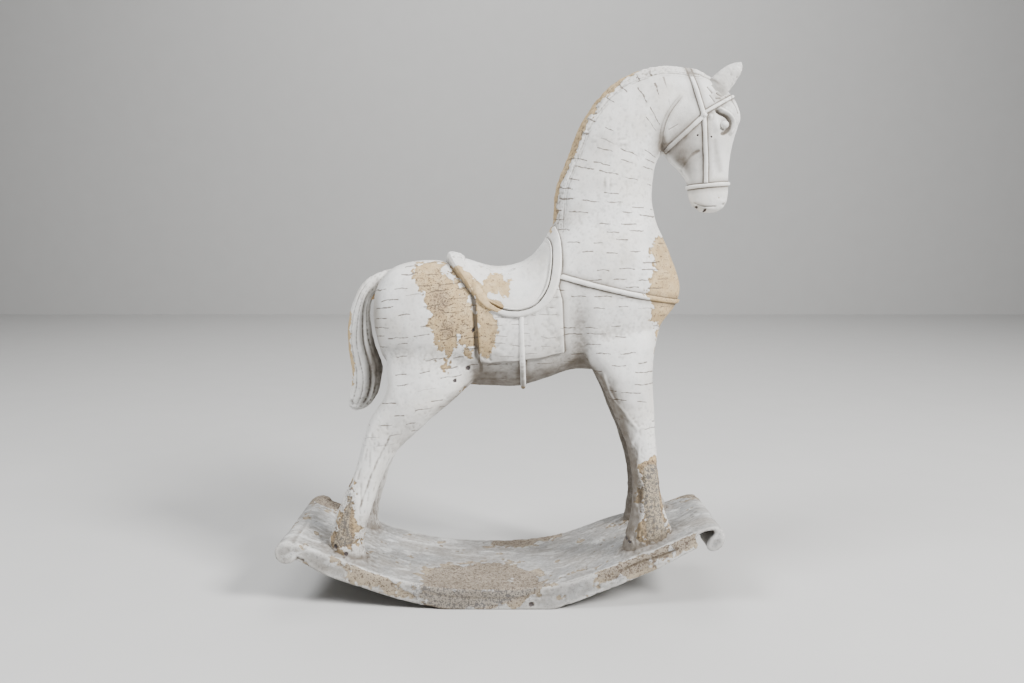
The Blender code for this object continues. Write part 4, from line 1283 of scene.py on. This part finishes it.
class Shader:
    """A Principled material and short ways to add nodes to it. Lengths are in millimetres."""

    def __init__(self, name):
        self.material = bpy.data.materials.new(name)
        self.material.use_nodes = True
        self.tree = self.material.node_tree
        self.surface = self.tree.nodes["Principled BSDF"]
        scaled = self.node("ShaderNodeVectorMath", operation="SCALE")
        self.join(self.node("ShaderNodeTexCoord").outputs["Object"], scaled.inputs[0])
        scaled.inputs["Scale"].default_value = 1 / MM
        self.place = scaled.outputs[0]

    def node(self, kind, **settings):
        made = self.tree.nodes.new(kind)
        for name, value in settings.items():
            setattr(made, name, value)
        return made

    def join(self, source, target):
        """Feeds a socket from another socket, a number or a colour."""
        if isinstance(source, bpy.types.NodeSocket):
            self.tree.links.new(source, target)
        elif isinstance(source, tuple) and len(source) == 3 and target.type == "RGBA":
            target.default_value = (*source, 1)
        else:
            target.default_value = source

    def math(self, operation, a, b=0.0, c=0.0, clamp=False):
        made = self.node("ShaderNodeMath", operation=operation, use_clamp=clamp)
        for source, target in zip((a, b, c), made.inputs):
            self.join(source, target)
        return made.outputs[0]

    def times(self, a, b, clamp=False):
        return self.math("MULTIPLY", a, b, clamp=clamp)

    def plus(self, a, b, clamp=False):
        return self.math("ADD", a, b, clamp=clamp)

    def less(self, a, b):
        return self.math("SUBTRACT", a, b)

    def times_plus(self, a, b, c):
        return self.math("MULTIPLY_ADD", a, b, c)

    def step(self, value, low, high, to_low=0.0, to_high=1.0):
        """Smooth step between two values."""
        made = self.node("ShaderNodeMapRange", interpolation_type="SMOOTHSTEP")
        for source, target in zip((value, low, high, to_low, to_high), made.inputs):
            self.join(source, target)
        return made.outputs[0]

    def mix(self, factor, a, b):
        made = self.node("ShaderNodeMix", data_type="RGBA")
        self.join(factor, made.inputs[0])
        self.join(a, made.inputs[6])
        self.join(b, made.inputs[7])
        return made.outputs[2]

    def field(self, name):
        return self.node("ShaderNodeAttribute", attribute_name=name).outputs["Fac"]

    def noise(self, size, detail=2.0, stretch=(1, 1, 1), seed=0.0):
        """Noise from about 0 to 1 whose lumps have that size."""
        mapping = self.node("ShaderNodeMapping")
        self.join(self.place, mapping.inputs["Vector"])
        mapping.inputs["Scale"].default_value = tuple(1 / (size * along_axis) for along_axis in stretch)
        mapping.inputs["Location"].default_value = (seed, 1.7 * seed, 0.6 * seed)
        made = self.node("ShaderNodeTexNoise")
        made.inputs["Scale"].default_value = 1.0
        made.inputs["Detail"].default_value = detail
        self.join(mapping.outputs[0], made.inputs["Vector"])
        return made.outputs["Fac"]

    def dress(self, colour, roughness):
        self.join(colour, self.surface.inputs["Base Color"])
        self.join(roughness, self.surface.inputs["Roughness"])

    def bump(self, height):
        """Bends the shading by a height in millimetres."""
        made = self.node("ShaderNodeBump")
        made.inputs["Distance"].default_value = MM
        self.join(height, made.inputs["Height"])
        self.join(made.outputs[0], self.surface.inputs["Normal"])

    def pits(self):
        """Scattered dark dots of many sizes, denser where the surface is more pitted."""
        amount = self.field("pits")
        fine = self.times_plus(amount, 0.15, self.noise(0.9, 3.0, seed=9))
        coarse = self.times_plus(amount, 0.17, self.noise(2.0, 2.0, seed=12))
        return self.math("MAXIMUM", self.step(fine, 0.655, 0.69), self.step(coarse, 0.70, 0.73))

    def dashes(self):
        """Short broken lines in rows across the grain: 1 in a line, 0 outside."""
        u, v = self.field("mark_u"), self.field("mark_v")
        waver = self.times(self.less(self.noise(7.0, 1.0, seed=3), 0.5), 2.4)
        row_place = self.math("DIVIDE", self.plus(v, waver), DASH_ROW)
        row = self.math("FLOOR", row_place)
        offset = self.node("ShaderNodeTexWhiteNoise", noise_dimensions="1D")
        self.join(row, offset.inputs["W"])
        shift = self.times(offset.outputs["Value"], 9.0)
        cell_place = self.plus(self.math("DIVIDE", u, DASH_CELL), shift)
        cell = self.math("FLOOR", cell_place)
        both = self.node("ShaderNodeCombineXYZ")
        self.join(row, both.inputs[0])
        self.join(cell, both.inputs[1])
        chance = self.node("ShaderNodeTexWhiteNoise", noise_dimensions="2D")
        self.join(both.outputs[0], chance.inputs["Vector"])
        parts = self.node("ShaderNodeSeparateColor")
        self.join(chance.outputs["Color"], parts.inputs[0])
        centre = self.step(parts.outputs[0], 0.0, 1.0, 0.3, 0.7)
        across = self.less(self.math("FRACT", row_place), centre)
        across = self.times(across, DASH_ROW)
        across = self.math("ABSOLUTE", across)
        reach = self.times_plus(parts.outputs[1], 0.26, 0.21)
        lengthways = self.math("ABSOLUTE", self.less(self.math("FRACT", cell_place), 0.5))
        inside_ends = self.step(self.less(reach, lengthways), 0.0, 0.05)
        thick = self.step(self.noise(2.2, 2.0, seed=8), 0.3, 0.7, 0.12, 0.44)
        line = self.step(self.less(thick, across), -0.1, 0.12)
        present = self.step(parts.outputs[2], 0.30, 0.34)
        strength = self.times(self.times(line, inside_ends), present)
        return self.times(strength, self.field("marks"))


def aged_paint(name, top, warm=CREAM_WARM, cool=CREAM_COOL, dashes=True, sheen=0.42, grain=(1, 1, 9),
               faded=0.0):
    """Brushed top coat, rubbed through to a speckled sandy undercoat, with dashes, pits, chips, dirt and
    painted shade, and ridges lightened partly by wear and partly by a painted highlight.
    """
    shader = Shader(name)
    fine = shader.noise(0.45, 2.0, seed=1)
    small = shader.noise(1.5, 3.0, seed=2)
    medium = shader.noise(5.0, 3.0, seed=4)
    large = shader.noise(24.0, 2.0, seed=5)
    brushed = shader.noise(0.6, 2.0, grain, 6)

    ragged = shader.plus(shader.times(shader.less(small, 0.5), 0.34),
                         shader.times(shader.less(fine, 0.5), 0.16))
    bare = shader.step(shader.plus(shader.field("bare"), ragged), 0.49, 0.52)
    # Patchiness of the dirt and painted shade
    patchiness = shader.step(medium, 0.3, 0.7, 0.82, 1.0)
    grime_and_shade = shader.times(shader.field("grime_and_shade"), patchiness, clamp=True)

    coat = shader.mix(shader.step(large, 0.35, 0.75, 0.0, 0.55), top, warm)
    coat = shader.mix(shader.step(medium, 0.45, 0.8, 0.0, 0.45), coat, cool)
    coat = shader.mix(shader.step(brushed, 0.3, 0.75, 0.0, 0.16), coat, warm)
    # Ridges lighter: partly rubbed paint, partly painted highlight
    coat = shader.mix(shader.times(shader.field("wear_and_highlight"), 0.35), coat, WORN_AND_HIGHLIGHT_WHITE)

    if faded:
        flakes = shader.step(shader.noise(7.0, 4.0, (2.2, 1, 1), 15), 0.56, 0.62, 0.0, 0.6)
        coat = shader.mix(flakes, coat, FLAKE_WHITE)
    under = shader.mix(shader.step(medium, 0.35, 0.75, 0.0, 0.8), UNDERCOAT, UNDERCOAT_PALE)
    stained = shader.step(small, 0.36, 0.62)
    stained = shader.times(shader.step(shader.field("pits"), 0.35, 0.85), stained)
    under = shader.mix(shader.times(stained, 0.62), under, UNDERCOAT_DARK)
    under = shader.mix(shader.step(shader.field("pits"), 0.4, 0.75, 0.0, 0.3), under, UNDERCOAT_DARK)
    pits = shader.pits()
    under = shader.mix(faded, under, FADED)
    slaty = shader.step(shader.field("pits"), 0.76, 0.86)
    under = shader.mix(shader.times(slaty, 0.6), under, FADED if faded else FADED_LEG)
    under = shader.mix(shader.times(pits, 0.8), under, shader.mix(slaty, UMBER, CHIP_GREY))

    specks = shader.times(pits, shader.step(shader.field("pits"), 0.3, 0.5, 0.0, 0.55))
    colour = shader.mix(bare, shader.mix(specks, coat, CHIP_GREY), under)
    lines = shader.dashes() if dashes else None
    if dashes:
        colour = shader.mix(shader.times(lines, 0.85), colour, DASH_BROWN)
    # Darkens towards the dirt colour where dirt and painted shade lie
    colour = shader.mix(shader.times(shader.math("POWER", grime_and_shade, 0.7), 0.93), colour, DIRT_AND_SHADE)

    holes = shader.node("ShaderNodeTexVoronoi", feature="F1")
    holes.inputs["Scale"].default_value = 0.13
    shader.join(shader.place, holes.inputs["Vector"])
    hole = shader.step(holes.outputs["Distance"], 0.034, 0.02)
    hole = shader.times(hole, shader.step(medium, 0.5, 0.56))
    chip = shader.step(shader.plus(shader.field("dark"), ragged), 0.42, 0.55)
    chip = shader.math("MAXIMUM", hole, chip)
    colour = shader.mix(chip, colour, shader.mix(small, CHIP_GREY, UMBER))
    shader.join(colour, shader.surface.inputs["Base Color"])

    dull = shader.step(small, 0.3, 0.7, sheen, sheen + 0.16)
    rubbed = shader.times(shader.math("MAXIMUM", bare, grime_and_shade), 0.28)
    dull = shader.plus(dull, rubbed, clamp=True)
    shader.join(dull, shader.surface.inputs["Roughness"])
    shader.surface.inputs["Specular IOR Level"].default_value = 0.4

    height = shader.times_plus(bare, -0.16, shader.times(small, 0.10))
    height = shader.times_plus(brushed, 0.05, height)
    height = shader.times_plus(fine, shader.times_plus(bare, 0.06, 0.03), height)
    height = shader.times_plus(chip, -0.4, height)
    height = shader.times_plus(shader.times(pits, bare), -0.14, height)
    if dashes:
        height = shader.times_plus(lines, -0.35, height)
    shader.bump(height)
    return shader.material


def dowel_wood():
    shader = Shader("turned_wood")
    grain = shader.noise(0.9, 3.0, (1, 1, 14), 2)
    shader.dress(shader.mix(grain, (0.62, 0.44, 0.25), (0.42, 0.27, 0.14)),
                 shader.step(grain, 0.2, 0.8, 0.5, 0.7))
    shader.bump(shader.times(grain, 0.08))
    return shader.material


def pin_steel():
    shader = Shader("drawn_steel")
    streak = shader.noise(0.5, 2.0, (1, 1, 20), 3)
    shader.dress(shader.mix(streak, (0.56, 0.56, 0.57), (0.38, 0.36, 0.34)),
                 shader.step(streak, 0.2, 0.8, 0.28, 0.48))
    shader.surface.inputs["Metallic"].default_value = 1.0
    return shader.material


# ---------------------------------------------------------------- stage, light and camera

# Name, place in metres, size, power, colour and the point that it shines at
LAMPS = [
    ("key", (1.15, -0.85, 1.1), 0.42, 70.0, (1.0, 0.995, 0.985), (0, 0, 0.18)),
    ("fill", (-0.8, -0.6, 1.3), 0.55, 27.0, (0.97, 0.985, 1.0), (0, 0, 0.18)),
    ("top", (0.1, 0.3, 1.6), 0.7, 5.0, (1.0, 1.0, 1.0), (0, 0, 0.18)),
    ("wall", (0.0, 1.2, 2.2), 1.5, 42.0, (1.0, 1.0, 1.0), (0, 2.6, 0.6)),
]
CAMERA_PLACE = (0.0084, -0.6027, 0.2365)
CAMERA_TILT = 83.996  # degrees up from straight down
FOCAL_LENGTH = 30.586


def make_stage():
    bpy.ops.mesh.primitive_plane_add(size=6, location=(0, 0, 0))
    floor = bpy.context.object
    floor.name = "floor"
    shader = Shader("pale_floor")
    cloudy = shader.noise(60.0, 2.0)
    shader.dress(shader.mix(cloudy, (0.50, 0.495, 0.485), (0.53, 0.525, 0.515)), 0.8)
    bpy.ops.mesh.primitive_plane_add(size=8, location=(0, 2.6, 0), rotation=(math.pi / 2, 0, 0))
    backdrop = bpy.context.object
    backdrop.name = "backdrop"
    for surface in (floor, backdrop):
        surface.data.materials.append(shader.material)

    world = bpy.data.worlds.new("studio")
    bpy.context.scene.world = world
    world.use_nodes = True
    background = world.node_tree.nodes["Background"]
    background.inputs["Color"].default_value = (0.93, 0.96, 1.0, 1)
    background.inputs["Strength"].default_value = 0.1

    for name, place, size, power, colour, aim in LAMPS:
        lamp = bpy.data.lights.new(name, "AREA")
        lamp.energy, lamp.size, lamp.color = power, size, colour
        holder = bpy.data.objects.new(name, lamp)
        bpy.context.scene.collection.objects.link(holder)
        holder.location = place
        holder.rotation_euler = (Vector(aim) - Vector(place)).to_track_quat("-Z", "Y").to_euler()


def make_camera():
    """Level with the saddle, square to the horse's right side, looking slightly down."""
    lens = bpy.data.cameras.new("camera")
    lens.sensor_width = 36
    lens.lens = FOCAL_LENGTH
    camera = bpy.data.objects.new("camera", lens)
    bpy.context.scene.collection.objects.link(camera)
    camera.location = CAMERA_PLACE
    camera.rotation_euler = (math.radians(CAMERA_TILT), 0, 0)
    bpy.context.scene.camera = camera


# ---------------------------------------------------------------- everything together

def add_plain(name, mesh, finish, extra):
    """A piece whose paint is worked out on its own."""
    add_fields(mesh, normals(mesh), extra)
    publish(name, mesh, finish)


def main():
    make_stage()
    make_camera()
    horse_paint = aged_paint("aged_cream_paint", CREAM)
    plain_paint = aged_paint("aged_cream_relief", CREAM, dashes=False)
    cloth_paint = aged_paint("aged_cloth_paint", CLOTH_CREAM)
    board_paint = aged_paint("aged_board_paint", BOARD_GREY, BOARD_WARM, BOARD_COOL, dashes=False,
                             sheen=0.55, grain=(14, 1, 1.5), faded=0.6)
    figure = build_figure()
    sculpt_figure(figure)
    skin = Skin(figure)

    tack = {**build_bridle(skin), **build_body_straps(skin)}
    tack["saddle_cloth"] = build_cloth(skin)
    tack["saddle_seat"] = build_seat(skin)
    for side, word in SIDES:
        tack[f"saddle_roll_{word}"] = build_roll(skin, side)
    tack_skin = Skin(new_mesh(*merged(tack.values())))

    board = build_board()
    sculpt_board(board, skin)
    make_figure(figure, tack_skin, Skin(board), horse_paint)
    make_board(board, skin, board_paint)

    for name, (points, faces) in tack.items():
        cloth = name == "saddle_cloth"
        # Painted shade along the tack's rim where it meets the body
        rim_contact_shade = 0.8 * ease(skin.gap(np.array(points), 1.2), 0.9, 0.1)
        extra = {"marks": -0.4 if cloth else -1, "grime_and_shade": rim_contact_shade - (0 if cloth else 0.15)}
        add_plain(name, new_mesh(points, faces), cloth_paint if cloth else plain_paint,
                  extra)
    tail = build_tail()
    tail_shade = 1.3 * spot(coords(tail), (-85.5, 166), (5, 32)) - 0.12
    add_plain("tail", tail, plain_paint, {"marks": -1, "grime_and_shade": tail_shade})
    for side, word in SIDES:
        add_plain(f"ear_{word}", build_ear(side), plain_paint,
                  {"marks": -1, "grime_and_shade": 0.14, "pits": 0.18})
        add_plain(f"eye_{word}", build_eye(side), plain_paint, {"marks": -1, "grime_and_shade": -0.3})

    wood, steel = dowel_wood(), pin_steel()
    for name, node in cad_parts.items():
        if "dowel" in name or "peg" in name or "pin" in name:
            node.data.materials.clear()
            node.data.materials.append(steel if "pin" in name else wood)


main()
